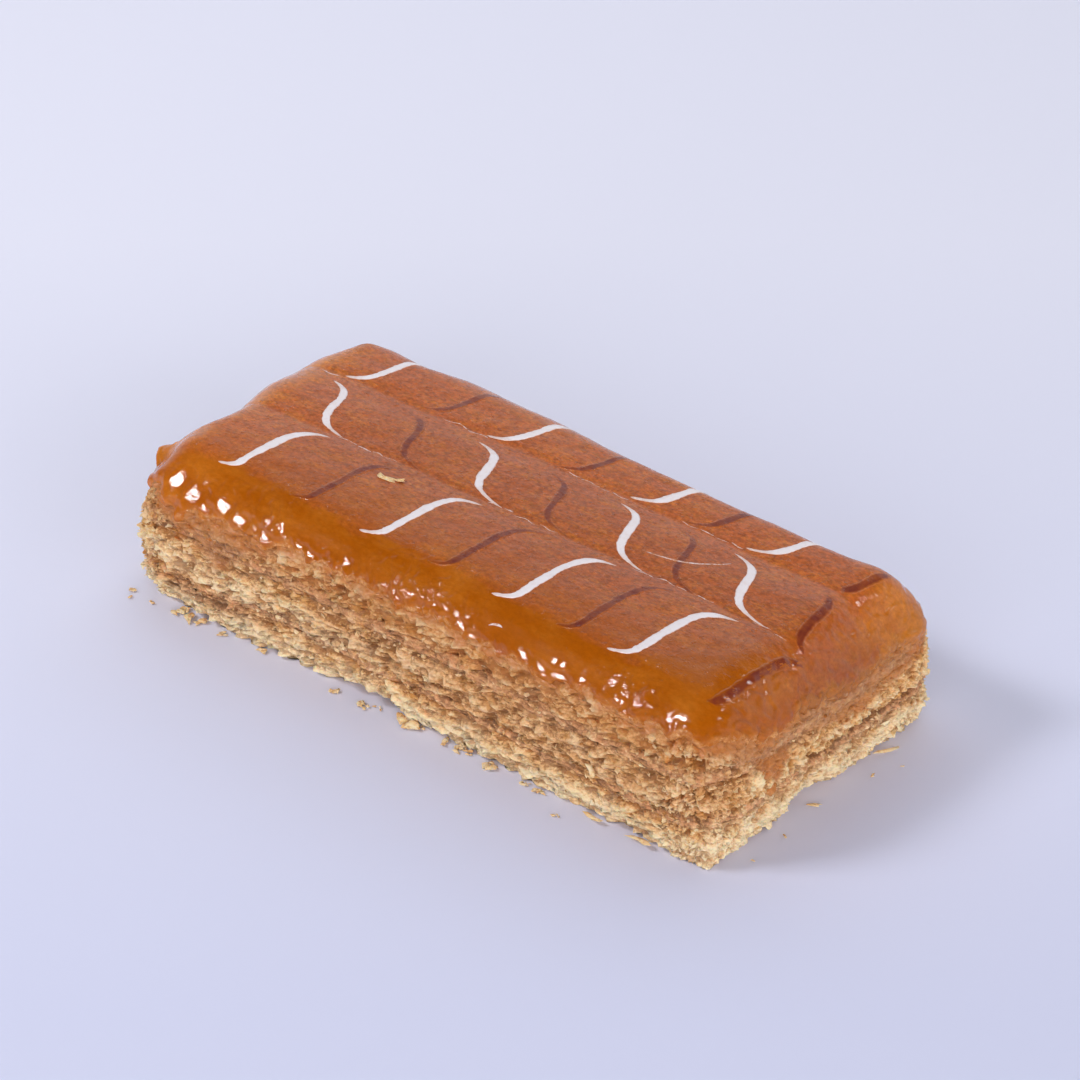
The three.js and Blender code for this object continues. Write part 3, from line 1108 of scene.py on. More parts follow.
PALE_WAVES = (Wave(0.30, (5.0, 3.0, 3.0), 36.0),)
AMBER_EDGE_WAVES = (Wave(1.6, (6.0, 2.0, 2.0), 62.0), Wave(1.0, (2.0, 0.6, 1.0), 63.0))


def paleness(points):
    """How much paler the glaze is: round the ends and the far edge, not the near one."""
    along, across = points[:, 0], points[:, 1]
    left = fade_out(along, 4.0 - HALF_LENGTH, 14.0 - HALF_LENGTH)
    right = smooth_step(along, HALF_LENGTH - 10.0, HALF_LENGTH - 1.0)
    right *= 0.20 * smooth_step(across, -17.0, -4.0) + 0.90 * smooth_step(across, 6.0, 21.0)
    far = smooth_step(across, HALF_WIDTH - 12.0, HALF_WIDTH)
    near = fade_out(across, 4.0 - HALF_WIDTH, 10.0 - HALF_WIDTH)
    pale = np.maximum(np.maximum(1.2 * left, right), 0.7 * far) * (1.0 - 0.9 * near)
    return pale + waves(points, PALE_WAVES)


def amberness(points):
    """Where the glaze lies thick and clear: along the near edge and at the right corner."""
    along, across = points[:, 0], points[:, 1]
    reach = waves(points, AMBER_EDGE_WAVES) - across + 0.95 * np.clip(along - 40.0, 0.0, 13.0)
    amber = 0.5 * smooth_step(reach, 8.0, 20.0) + 0.5 * smooth_step(reach, 20.4, 21.8)
    corner = smooth_step(along, 53.0, 58.0) * smooth_step(across, 0.0, 10.0)
    return np.maximum(amber, 0.8 * corner)


def painted_glaze_light(points):
    """Painted light and shade on the glaze: brighter at the left and the far side, darker at the right
    end.
    """
    along, across = points[:, 0], points[:, 1]
    left = fade_out(along, -56.0, -24.0)
    far = smooth_step(across, 4.0, 12.0)
    end = smooth_step(along, 56.0, 59.0) * smooth_step(across, -12.0, -4.0)
    return 1.0 + 0.15 * np.maximum(left, 0.7 * far) - 0.18 * end


RIM_TILT = (0.05, 0.45)  # slopes, in radians, between which the top turns into the rim
RIM_LEAN = 0.205  # how far the ledges lean towards the right end
LEDGE_LENGTH = 2.3
LEDGE_FRONT = 0.75  # share of a ledge's length that leans; the rest leads back
# Stretches of the near rim that are rippled: middle, half length and strength.
RIPPLED = ((-41.0, 14.0, 0.45), (-29.5, 2.5, 0.6), (2.0, 11.5, 1.0), (45.5, 6.0, 0.9))
RIM_FACING = np.array((0.208, -0.756, 0.620))  # the way that pools and ripples face
FACING_TURN = -0.0011  # and how much more to the right for each mm to the right
FLAT_BAND = (21.7, 1.5)  # height and reach of the flat band in which the rim is rippled
NEAR_RIM = -26.5  # places of the outline nearer than this can hold a pool
POOL_CUT = 0.75  # how far a pool may cut into the glaze or fill it up


def ledges(points):
    """Short slopes side by side along the rim, which all lean towards the right end."""
    warp = noise_at(points, np.array((1.5, 1.0, 0.7)) * LEDGE_LENGTH, 52.0)
    share = ((points[:, 0] + 0.6 * points[:, 2]) / LEDGE_LENGTH + 1.1 * warp) % 1.0
    back = (share - LEDGE_FRONT) / (1.0 - LEDGE_FRONT) - 0.5
    slope = np.where(share < LEDGE_FRONT, 0.5 - share / LEDGE_FRONT, back)
    return LEDGE_FRONT * RIM_LEAN * LEDGE_LENGTH * slope


def rim_ripples(places):
    """How strongly the rim is rippled along the outline, from 0 to 1."""
    along = places[:, 0]
    near = fade_out(places[:, 1], -27.0, -22.0)
    strong = np.zeros(len(places))
    for middle, half, strength in RIPPLED:
        strong += strength * np.exp(-(((along - middle) / half) ** 4))
    other = 0.6 * smooth_step(noise_at(places, 9.0, 35.0), 0.0, 0.4)
    other = np.maximum(other, 0.9 * smooth_step(along, 57.0, 59.0))
    return np.clip(near * strong + (1.0 - near) * other, 0.0, 1.0)


def flat_band(tilt):
    """How far the rim lies back where its curve is flattened for the ripples."""
    height, reach = FLAT_BAND
    radius = SHOULDER_RADIUS + GLAZE_DEPTH
    facing = math.atan2(-RIM_FACING[1], RIM_FACING[2])
    middle = math.acos((height - SHOULDER_CENTRE) / radius)
    down = (tilt - middle) * radius
    share = np.exp(-((down / reach) ** 4))
    return share * (down**2 / (2.0 * radius) + math.tan(middle - facing) * down)


def pool_share(pool, outline, points):
    """How far each point of the glaze lies in a pool, from 0 to 1."""
    along = outline[:, 0] - pool.place
    off = points[:, 2] - pool.height - pool.slant * along
    share = np.exp(-((along / pool.along) ** 4) - (off / pool.up) ** 4)
    return share * (outline[:, 1] < NEAR_RIM)


def drop_share(drop, outline, points):
    """How far each point of the glaze lies on a drop, from 0 to 1."""
    return bump(outline, drop.place, drop.reach) * bell(points[:, 2], drop.height, drop.spread)


def flatten_pools(outline, points, facing):
    """Moves the points in each pool onto a flat place, and tells how wet each point is."""
    wet = np.zeros(len(points))
    for pool in GLAZE_POOLS:
        share = pool_share(pool, outline, points)
        middle = (points * share[:, None]).sum(axis=0) / share.sum()
        way = RIM_FACING + (FACING_TURN * pool.place, 0.0, 0.0)
        lift = ((middle - points) @ way) / np.maximum(facing @ way, 0.3)
        points += facing * (share * np.clip(lift, -POOL_CUT, POOL_CUT))[:, None]
        wet += share
    for drop in GLAZE_DROPS:
        wet += 0.9 * drop_share(drop, outline, points)
    return np.clip(wet, 0.0, 1.0)


SheetPlan = namedtuple("SheetPlan", "side along ring under steps")


def sheet_plan(flat):
    """Where each vertex of the flat sheet belongs.

    That is its side of the slice, where it lies along that side, how many rows it
    lies in from the rim, how many it is turned in under it, and its place in the grid.
    """
    spread = np.abs(flat).max(axis=1)
    under = np.clip(np.round((spread - 1.0) / UNDER_GROWTH), 0, UNDER_ROWS)
    flat = flat / np.maximum(spread, 1.0)[:, None]
    steps = np.round((flat + 1.0) / 2.0 * SHEET_STEPS)
    rows_in = np.minimum(steps, SHEET_STEPS - steps)
    ring = np.minimum(rows_in.min(axis=1), SKIRT_ROWS)
    end = rows_in[:, 0] <= rows_in[:, 1]
    side = np.where(end, np.where(flat[:, 0] > 0, 0, 2), np.where(flat[:, 1] > 0, 1, 3))
    length = np.where(end, SHEET_STEPS[1], SHEET_STEPS[0]) - 2.0 * ring
    offset = np.where(end, steps[:, 1], steps[:, 0]) - ring
    along = offset / length * 2.0 - 1.0
    along *= np.where((side == 0) | (side == 3), 1.0, -1.0)
    return SheetPlan(side, along, ring, under, steps)


Drape = namedtuple("Drape", "points facing tilt near_lip on_top")


def drape(plan, outline):
    """Lays the sheet on the top and down the shoulders to the glaze's lower edge.

    Tells each vertex's place, the way it faces, its slope in radians, how far it
    is on its way to the lip, from 0 to 1, and whether it lies on the flat top.
    """
    edge = glaze_edge(outline)
    level = np.clip((edge - SHOULDER_CENTRE) / SHOULDER_RADIUS, 0.0, 1.0)
    whole = SHOULDER_RADIUS * np.arccos(level) + np.clip(SHOULDER_CENTRE - edge, 0.0, None)
    turned_in = np.where(plan.under > 0, 1.0 - plan.under / UNDER_ROWS, 1.0)
    fall = (1.0 - plan.ring / SKIRT_ROWS) * turned_in
    travel = whole * fall
    tilt = np.minimum(travel / SHOULDER_RADIUS, math.pi / 2)
    hang = np.clip(travel - SHOULDER_RADIUS * math.pi / 2, 0.0, None)
    rim, away = ring_places(plan.side, plan.along, SHOULDER_RADIUS * (1.0 - np.sin(tilt)))
    share = (plan.steps - SKIRT_ROWS) / (SHEET_STEPS - 2 * SKIRT_ROWS) * 2.0 - 1.0
    on_top = (plan.ring >= SKIRT_ROWS) & (plan.under == 0)
    height = SHOULDER_CENTRE + SHOULDER_RADIUS * np.cos(tilt) - hang
    points = np.column_stack([np.where(on_top[:, None], share * FLAT_TOP, rim), height])
    facing = np.column_stack([away * np.sin(tilt)[:, None], np.cos(tilt)])
    facing[on_top] = (0.0, 0.0, 1.0)
    return Drape(points, facing, tilt, np.where(on_top, 0.0, fall), on_top)


BODY_WAVES = (Wave(0.3, 7.0, 37.0),)
RIPPLE_WAVES = (Wave(0.09, (2.8, 2.8, 1.6), 51.0), Wave(0.05, (1.1, 1.1, 0.7), 53.0))
LUMP_WAVES = (Wave(0.32, (1.9, 1.9, 1.1), 55.0), Wave(0.28, 0.8, 56.0))
RIM_WAVES = (Wave(1.0, (5.0, 5.0, 3.0), 58.0),)


def glaze_depth(laid, outline, ripple):
    """How thick the glaze is: whole on top, rippled on the rim, rounded off at the lip."""
    points, near_lip, tilt = laid.points, laid.near_lip, laid.tilt
    body = 0.85 + waves(outline, BODY_WAVES)
    round_off = (1.0 - near_lip**3) ** np.clip(0.75 * body, 0.4, 1.2)
    depth = GLAZE_DEPTH * round_off + LIP_DEPTH * smooth_step(near_lip, 0.82, 1.0)
    ripple = ripple * smooth_step(tilt, 0.25, 0.65) * fade_out(near_lip, 0.9, 1.0)
    depth += ripple * (waves(points, RIPPLE_WAVES) + ledges(points) + flat_band(tilt))
    depth += smooth_step(near_lip, 0.68, 0.90) * waves(points, LUMP_WAVES)
    uneven = 0.10 + 0.20 * (outline[:, 1] > 0.0)
    depth += uneven * waves(points, RIM_WAVES) * smooth_step(tilt, 0.4, 0.9)
    depth += edge_swell(outline) * smooth_step(tilt, 0.0, 0.8)
    for drop in GLAZE_DROPS:
        depth += drop.size * drop_share(drop, outline, points)
    return depth + top_relief(points) * fade_out(tilt, 0.3, 0.9)


THIN_WAVES = (Wave(0.10, (1.6, 1.6, 1.0), 59.0), Wave(0.06, 0.7, 64.0))
WET_WAVES = (Wave(1.0, (1.5, 1.5, 1.0), 57.0),)
BRUSH_WAVES = (Wave(0.12, (4.0, 0.9, 0.9), 60.0),)


def glaze_values(points, outline, laid, ripple, pool):
    """What the glaze's material reads at each vertex."""
    right = smooth_step(outline[:, 0], 56.0, 59.0) * smooth_step(outline[:, 1], -12.0, -6.0)
    ragged = laid.near_lip + waves(points, THIN_WAVES)
    thin = smooth_step(ragged, 0.84 - 0.12 * right, 1.0 - 0.05 * right)
    return {
        "rim": smooth_step(laid.tilt + waves(points, BRUSH_WAVES), *RIM_TILT),
        "thin": thin * (1.0 - 0.85 * pool),
        "wet": ripple * smooth_step(waves(points, WET_WAVES), -0.30, 0.10),
        "pool": pool,
        "pale": paleness(points),
        "amber": amberness(points),
        "shade": painted_glaze_light(points),
    }


def glaze_sheet():
    """The glaze: a sheet draped over the top and shoulders, with a rounded lip."""
    sheet = blank_sheet("glaze")
    plan = sheet_plan(read_points(sheet.data)[:, :2])
    outline, _ = ring_places(plan.side, plan.along, np.zeros(len(plan.side)))
    outline = np.column_stack([outline, np.zeros(len(outline))])
    ripple = rim_ripples(outline)
    laid = drape(plan, outline)
    depth = np.where(plan.under > 0, UNDER_DEPTH, glaze_depth(laid, outline, ripple))
    points = laid.points + laid.facing * depth[:, None]
    points[:, 2] += crown_height(points) * (laid.on_top | (laid.tilt < 0.9))
    pool = flatten_pools(outline, points, laid.facing)
    write_points(sheet.data, points)
    bpy.ops.object.mode_set(mode="EDIT")
    bpy.ops.mesh.select_all(action="SELECT")
    bpy.ops.mesh.normals_make_consistent(inside=False)
    bpy.ops.object.mode_set(mode="OBJECT")
    write_values(sheet.data, **glaze_values(points, outline, laid, ripple, pool))
    bpy.ops.object.shade_smooth()
    return sheet


def glaze_colour(tree):
    """The glaze's colour: amber, mottled by the pastry under it, with painted light and shade over it.
    """
    tint = colours()
    clear = attribute_node(tree, "amber")
    cloud = noise_node(tree, 14.0, 3.0, 0.55, (1.6, 1.0, 1.0))
    streak = noise_node(tree, 2.2, 4.0, 0.65, (3.5, 1.0, 1.0))
    grain = noise_node(tree, 0.45, 3.0, 0.7, (1.8, 1.0, 1.0))
    specks = noise_node(tree, 0.6, 3.0, 0.7, (1.5, 1.0, 1.0))
    rim = times(tree, attribute_node(tree, "rim"), 0.55)
    calm = math_node(tree, "MAXIMUM", times(tree, clear, 0.75), rim)
    dull = less(tree, 1.0, calm)
    share = plus(
        tree,
        remap(tree, cloud, 0.40, 0.75, 0.0, 0.30),
        remap(tree, streak, 0.35, 0.75, -0.20, 0.32),
        times(tree, swing(tree, grain, 0.42), dull),
        times(tree, attribute_node(tree, "pale"), 0.75),
        attribute_node(tree, "thin"),
        clamp=True,
    )
    deep = mix_colours(tree, clear, tint.glaze_top, tint.glaze)
    colour = mix_colours(tree, share, deep, tint.glaze_thin)
    bright = plus(tree, 1.0, times(tree, swing(tree, specks, 0.30, 0.35, 0.65), dull))
    # Painted light and shade: the shade value brightens the glaze at the left and far side and darkens
    # it at the right end.
    return shaded(tree, colour, times(tree, bright, attribute_node(tree, "shade")))


def glaze_relief(tree, patch, pool):
    """The normals of the glaze: pitted on the top, faceted where wet, crumbly at the lip."""
    rim = attribute_node(tree, "rim")
    fine = noise_node(tree, 0.42, 3.0, 0.65, (1.6, 1.0, 1.0))
    fine = times(tree, fine, remap(tree, rim, 0.2, 0.9, 1.0, 0.35))
    pits = remap(tree, noise_node(tree, 0.9), 0.60, 0.72)
    pits = times(tree, pits, remap(tree, rim, 0.2, 0.9, 1.0, 0.0))
    facets = noise_node(tree, 0.9, 3.0, 0.6, (1.3, 1.0, 1.0))
    facets = times(tree, facets, times(tree, patch, less(tree, 1.0, times(tree, pool, 0.35))))
    crumbs = times(tree, noise_node(tree, 0.6, 4.0, 0.7), attribute_node(tree, "thin"))
    bent = None
    for height, depth, strength in (
        (fine, 0.10, 0.9),
        (pits, 0.09, 1.0),
        (facets, 0.15, 1.0),
        (crumbs, 0.50, 1.0),
    ):
        bent = bump_node(tree, height, depth, strength, bent)
    return bent


def glaze_finish(tree, shader, colour):
    """A satin gloss on the flat top that turns wet in patches on the rim."""
    rim = attribute_node(tree, "rim")
    pool = attribute_node(tree, "pool")
    wet = times(tree, rim, attribute_node(tree, "wet"))
    patch = math_node(tree, "MAXIMUM", wet, pool)
    dry = remap(tree, rim, 0.1, 0.9, 0.27, 0.09)
    worn = remap(tree, noise_node(tree, 3.0, 3.0, 0.6, (2.0, 1.0, 1.0)), 0.35, 0.7, -0.02, 0.04)
    crumbly = remap(tree, attribute_node(tree, "thin"), 0.3, 1.0, 0.0, 0.22)
    gloss = add_node(tree, "ShaderNodeMix", {0: patch, 2: dry, 3: 0.03}).outputs[0]
    feed(tree, shader, {
        "Base Color": colour,
        "Roughness": plus(tree, gloss, worn, crumbly),
        "IOR": 1.40,
        "Normal": glaze_relief(tree, patch, pool),
    })


def glaze_material():
    """Glossy caramel glaze over pastry, with a crumbly crust at its lip."""
    tint = colours()
    material, tree, shader = new_material("caramel glaze")
    thin = attribute_node(tree, "thin")
    bright = attribute_node(tree, "shade")
    lip = plus(tree, thin, swing(tree, noise_node(tree, 0.8, 3.0, 0.65), 0.35))
    lip = remap(tree, times(tree, lip, thin), 0.1, 0.9, 0.0, 0.95)
    # Painted shade: where the shade value is low, at the right end, the crust is made browner and
    # darker.
    spots = plus(tree, noise_node(tree, 0.6, 3.0, 0.7), remap(tree, bright, 0.82, 1.0, -0.20, 0.0))
    crust = mix_colours(tree, remap(tree, spots, 0.42, 0.64), tint.soaked, tint.lip)
    crust = shaded(tree, crust, remap(tree, bright, 0.80, 1.0, 0.80, 1.0))
    glaze_finish(tree, shader, mix_colours(tree, lip, glaze_colour(tree), crust))
    return material


# Beads of glaze that hang on the right end below the glaze's edge: place and size.
Bead = namedtuple("Bead", "place depth width height")
GLAZE_BEADS = (
    Bead((59.2, -13.8, 7.9), 1.2, 2.3, 1.9),
    Bead((58.9, -15.4, 9.9), 1.0, 1.5, 2.0),
    Bead((58.6, -12.4, 15.6), 1.1, 2.2, 1.4),
)
BEAD_LOOK = {
    "rim": 1.0,
    "wet": 1.0,
    "pool": 0.8,
    "thin": 0.8,
    "pale": 0.6,
    "amber": 0.6,
    "shade": 1.0,
}


def glaze_beads():
    """Rounded beads of glaze, each pushed a little out of shape."""
    beads = []
    for number, bead in enumerate(GLAZE_BEADS):
        start_piece()
        bpy.ops.mesh.primitive_uv_sphere_add(segments=20, ring_count=12, radius=0.5 * MM)
        piece = bpy.context.object
        points = read_points(piece.data)
        points *= 1.0 + 0.30 * noise_at(points, 0.5, 70.0 + number)[:, None]
        points *= (bead.depth, bead.width, bead.height)
        write_points(piece.data, points + bead.place)
        write_values(piece.data, **BEAD_LOOK)
        beads.append(piece)
    return joined(beads, "glaze_beads")


class MESH_OT_pastry_glaze(bpy.types.Operator):
    """Build the glaze over the top and shoulders"""

    bl_idname = "mesh.pastry_glaze"
    bl_label = "Glaze"

    def execute(self, context):
        material = glaze_material()
        finish_piece(glaze_sheet(), material, ("glaze_cap",))
        finish_piece(glaze_beads(), material)
        return {"FINISHED"}


# ---- Icing ----

PULL_REACH = (2.4, 0.6)  # how far from its end a stroke is pulled, roughly and sharply
FAR_SPUR = 0.4  # how much of the far pull is in the stroke's very end
RIBBON_COLUMNS = 6
STROKE_ROWS = 72
STROKE_SAMPLES = 400
END_ROWS = 4.0  # over how many rows the ends of a stroke narrow
SPUR_ROWS = 8.0  # over how many rows its foot does
LINE_WAVE = 0.25  # how far a stroke wanders off its line
STROKE_WAVES = (Wave(0.25, 2.2, 0.0), Wave(0.20, 0.6, 0.0))
LEAST_WIDTH = 0.2
SPUR_WIDTH = 0.6  # how much wider a stroke with a strong spur is at its foot
SUNK = 0.15  # how far a ribbon's underside lies in the glaze
PROUD = 0.012  # and how far its edges stand above it


def line_places(line, part, heights):
    """How far along the slice the stroke in one row lies at places across it."""
    row = ROWS[part]
    wide, sharp = PULL_REACH
    start = np.full(len(heights), line[part])
    for off, pull, spur in (
        (heights - heights[0], row.near_pull, row.spur),
        (heights[-1] - heights, row.far_pull, FAR_SPUR),
    ):
        shape = (1.0 - spur) * np.exp(-off / wide) + spur * np.exp(-off / sharp)
        start += line.pull * pull * shape
    return start


def even_places(places, count):
    """Places evenly spaced along a line through many places."""
    steps = np.linalg.norm(np.diff(places, axis=0), axis=1)
    run = np.concatenate([[0.0], np.cumsum(steps)])
    even = np.linspace(0.0, run[-1], count)
    return np.column_stack([np.interp(even, run, axis) for axis in places.T])


def flat_ribbon(name, rows):
    """A thin closed slab, cut into rows along its way."""
    start_piece()
    bpy.ops.mesh.primitive_grid_add(
        x_subdivisions=RIBBON_COLUMNS, y_subdivisions=rows, size=2.0 * MM
    )
    ribbon = bpy.context.object
    ribbon.name = name
    bpy.ops.object.mode_set(mode="EDIT")
    bpy.ops.mesh.select_all(action="SELECT")
    bpy.ops.mesh.extrude_region_move(TRANSFORM_OT_translate={"value": (0.0, 0.0, MM)})
    bpy.ops.mesh.select_all(action="SELECT")
    bpy.ops.mesh.normals_make_consistent(inside=False)
    bpy.ops.object.mode_set(mode="OBJECT")
    return ribbon


def glaze_height(carrier, place):
    """The height of the glaze's surface at a place, in millimetres."""
    hit = carrier.ray_cast(Vector((*place, 60.0)), Vector((0.0, 0.0, -1.0)))[0]
    if hit is None:
        raise RuntimeError("An icing line runs off the glaze.")
    return hit.z


def icing_ribbon(name, places, widths, height, carrier):
    """A ribbon of icing along a line of places, laid on the glaze."""
    rows = len(places) - 1
    ribbon = flat_ribbon(name, rows)
    side, along, up = read_points(ribbon.data).T
    row = np.round((along + 1.0) / 2.0 * rows).astype(int)
    ahead = np.gradient(places, axis=0)
    ahead /= np.linalg.norm(ahead, axis=1, keepdims=True)
    aside = np.column_stack([ahead[:, 1], -ahead[:, 0]])
    level = places[row] + aside[row] * (side * widths[row] / 2.0)[:, None]
    surface = np.array([glaze_height(carrier, place) for place in level.tolist()])
    full = widths[row] / widths.max()
    dome = height * np.sqrt(full) * (1.0 - side**4)
    points = np.column_stack([level, surface + np.where(up > 0.5, dome + PROUD, -SUNK)])
    write_points(ribbon.data, points)
    past_flat = (np.abs(level) - FLAT_TOP).max(axis=1)
    tilt = np.arcsin(np.clip(past_flat / SHOULDER_RADIUS, 0.0, 1.0))
    write_values(ribbon.data, edge=np.abs(side), faint=1.0 - full, rim=smooth_step(tilt, *RIM_TILT))
    write_values(ribbon.data, thin=0.0, wet=0.0, pool=0.0)
    write_values(ribbon.data, pale=paleness(points), amber=amberness(points))
    # The ribbons carry the glaze's painted light and shade.
    write_values(ribbon.data, shade=painted_glaze_light(points))
    return ribbon


def stroke_ribbons(name, line, width, height, carrier, seed):
    """The ribbons of one piped line, cut where the drags cross it."""
    ribbons = []
    for part, row in enumerate(ROWS):
        low, high = (drag.height + drag.slope * line[part] for drag in DRAGS[part : part + 2])
        across = np.linspace(low + row.near_gap, high - row.far_gap, STROKE_SAMPLES)
        spots = np.column_stack([across, np.full((len(across), 2), seed + part)])
        along = line_places(line, part, across) + LINE_WAVE * noise_at(spots, 4.0, seed)
        places = even_places(np.column_stack([along, across]), STROKE_ROWS + 1)
        ahead = np.gradient(places, axis=0)
        straight = np.abs(ahead[:, 1]) / np.linalg.norm(ahead, axis=1)
        spots = np.column_stack([places, np.full(len(places), seed + part)])
        uneven = 1.0 + waves(spots, STROKE_WAVES, seed)
        count = np.arange(STROKE_ROWS + 1)
        ends = np.clip(np.minimum(count, STROKE_ROWS - count) / END_ROWS, 0.02, 1.0)
        foot = SPUR_WIDTH * np.exp(-count / SPUR_ROWS) if row.spur > 0.5 else 0.0
        widths = np.maximum(width * straight**0.85, LEAST_WIDTH + foot) * uneven * np.sqrt(ends)
        ribbons.append(icing_ribbon(f"{name}_{part}", places, widths, height, carrier))
    return ribbons


HAIR_ROWS = 16
HAIR_TAPER = np.sin(np.linspace(0.15, 2.9, HAIR_ROWS + 1))  # thinner towards both ends
HAIR_LENGTHS = (1.6, 4.2)
HAIR_WIDTHS = (0.12, 0.26)
HAIRS_PER_LINE = 4
HAIR_PULL = 8.0  # how far along a drag the first hair lies from its line
# Thin curved ridges: their start, bend and end.
RIDGES = (
    ((22.4, 0.9), (31.0, 1.4), (34.7, 6.7)),
    ((15.2, -25.2), (16.4, -24.6), (17.6, -24.9)),
)
RIDGE_WIDTH = 0.28


def hairline_ribbons(name, carrier):
    """Faint, broken threads of white icing that the drags left behind."""
    rng = np.random.default_rng(5)
    ribbons = []
    for number, line in enumerate(WHITE_LINES):
        for drag, pull in ((DRAGS[1], HAIR_PULL), (DRAGS[2], -HAIR_PULL)):
            start = line.middle + pull * rng.uniform(0.7, 0.9)
            for part in range(HAIRS_PER_LINE):
                end = start + math.copysign(rng.uniform(*HAIR_LENGTHS), pull)
                along = np.linspace(start, end, HAIR_ROWS + 1)
                across = drag.height + drag.slope * along + rng.uniform(-0.3, 0.3)
                across = across + rng.uniform(0.05, 0.2) * np.sin(along * 1.7 + part)
                widths = rng.uniform(*HAIR_WIDTHS) * (1.0 - 0.15 * part) * HAIR_TAPER
                if max(abs(start), abs(end)) < HALF_LENGTH - 3.0:
                    places = np.column_stack([along, across])
                    label = f"{name}_{number}_{part}"
                    ribbons.append(icing_ribbon(label, places, widths, 0.01, carrier))
                start = end + math.copysign(rng.uniform(-1.0, 0.3), pull)
    share = np.linspace(0.0, 1.0, HAIR_ROWS + 1)[:, None]
    for number, ridge in enumerate(RIDGES):
        first, bend, last = np.array(ridge)
        places = (1 - share) ** 2 * first + 2 * share * (1 - share) * bend + share**2 * last
        widths = RIDGE_WIDTH * HAIR_TAPER
        ribbons.append(icing_ribbon(f"{name}_ridge_{number}", places, widths, 0.03, carrier))
    return ribbons


def glaze_surface():
    """The glaze's surface in millimetres, for the icing to lie on."""
    mesh = bpy.data.objects["glaze"].data
    points = [Vector(point) for point in read_points(mesh).tolist()]
    faces = [face.vertices[:] for face in mesh.polygons if len(face.vertices) == 4]
    return BVHTree.FromPolygons(points, faces)


def white_icing_material():
    """Smooth white sugar icing, thinner and greyer at its tails."""
    material, tree, shader = new_material("white icing")
    tint = colours()
    cloud = noise_node(tree, 1.0, 3.0, 0.6)
    share = plus(
        tree,
        remap(tree, attribute_node(tree, "faint"), 0.35, 0.95, 0.0, 0.5),
        remap(tree, cloud, 0.5, 0.75, 0.0, 0.15),
        remap(tree, attribute_node(tree, "edge"), 0.75, 1.0, 0.0, 0.45),
        clamp=True,
    )
    feed(tree, shader, {
        "Base Color": mix_colours(tree, share, tint.white_icing, tint.glaze_thin),
        "Roughness": 0.40,
        "Normal": bump_node(tree, cloud, 0.04, 0.4),
    })
    return material


def thread_material():
    """White icing so thin that the glaze shows through it."""
    material, tree, shader = new_material("icing threads")
    tint = colours()
    broken = remap(tree, noise_node(tree, 0.7, 3.0, 0.6), 0.42, 0.62, 0.25, 0.85)
    feed(tree, shader, {
        "Base Color": mix_colours(tree, broken, tint.white_icing, tint.glaze_thin),
        "Roughness": 0.45,
    })
    return material


def brown_icing_material():
    """Brown icing sunk into the glaze, which fades out at its edges."""
    material, tree, shader = new_material("brown icing")
    share = plus(
        tree,
        remap(tree, attribute_node(tree, "edge"), 0.45, 1.0),
        remap(tree, attribute_node(tree, "faint"), 0.3, 0.9, 0.0, 0.6),
        remap(tree, noise_node(tree, 1.6, 3.0, 0.6), 0.35, 0.65, 0.0, 0.40),
        clamp=True,
    )
    colour = mix_colours(tree, share, colours().brown_icing, glaze_colour(tree))
    glaze_finish(tree, shader, colour)
    return material


class MESH_OT_pastry_icing(bpy.types.Operator):
    """Lay the feathered white and brown icing lines on the glaze"""

    bl_idname = "mesh.pastry_icing"
    bl_label = "Icing"

    def execute(self, context):
        size = sizes()
        carrier = glaze_surface()
        for name, lines, width, height, material, slot in (
            ("white_icing", WHITE_LINES, size.white_width, 0.06, white_icing_material(), "icing_white"),
            ("brown_icing", BROWN_LINES, size.brown_width, 0.0, brown_icing_material(), "icing_brown"),
        ):
            ribbons = []
            for number, line in enumerate(lines):
                seed = 100.0 + 3.0 * number
                ribbons += stroke_ribbons(f"{name}_{number}", line, width / MM, height, carrier, seed)
            finish_piece(joined(ribbons, name), material)
        hairs = joined(hairline_ribbons("icing_threads", carrier), "icing_threads")
        finish_piece(hairs, thread_material())
        return {"FINISHED"}


# ---- Flakes and crumbs ----

FLAKE_SHAPES = 9
FLAKE_SEGMENTS = 7
FLAKE_RINGS = 4

Chip = namedtuple("Chip", "place length width thickness turn pitch tone")
# Single flakes that stand out, with places and sizes in millimetres.
SINGLE_CHIPS = (
    Chip((-19.4, -9.3, 26.16), 4.6, 1.0, 0.50, 22.0, 5.0, -0.9),
    Chip((-17.6, -8.5, 26.28), 2.2, 0.7, 0.40, 34.0, -6.0, -1.3),
    Chip((-20.9, -9.3, 26.12), 1.8, 0.9, 0.30, -20.0, 8.0, -0.5),
    Chip((59.8, 13.2, 0.6), 4.4, 1.0, 0.40, 66.0, 4.0, 0.4),
    Chip((59.9, -4.3, 0.3), 2.9, 0.7, 0.30, 41.0, 3.0, -0.4),
    Chip((38.2, -28.9, 9.4), 2.0, 1.5, 0.70, 10.0, 55.0, 2.6),
    Chip((38.0, -28.4, 0.8), 3.4, 1.2, 0.35, -4.0, 3.0, 0.2),
    Chip((47.0, -28.2, 0.9), 4.0, 1.3, 0.35, 3.0, -3.0, 0.2),
)
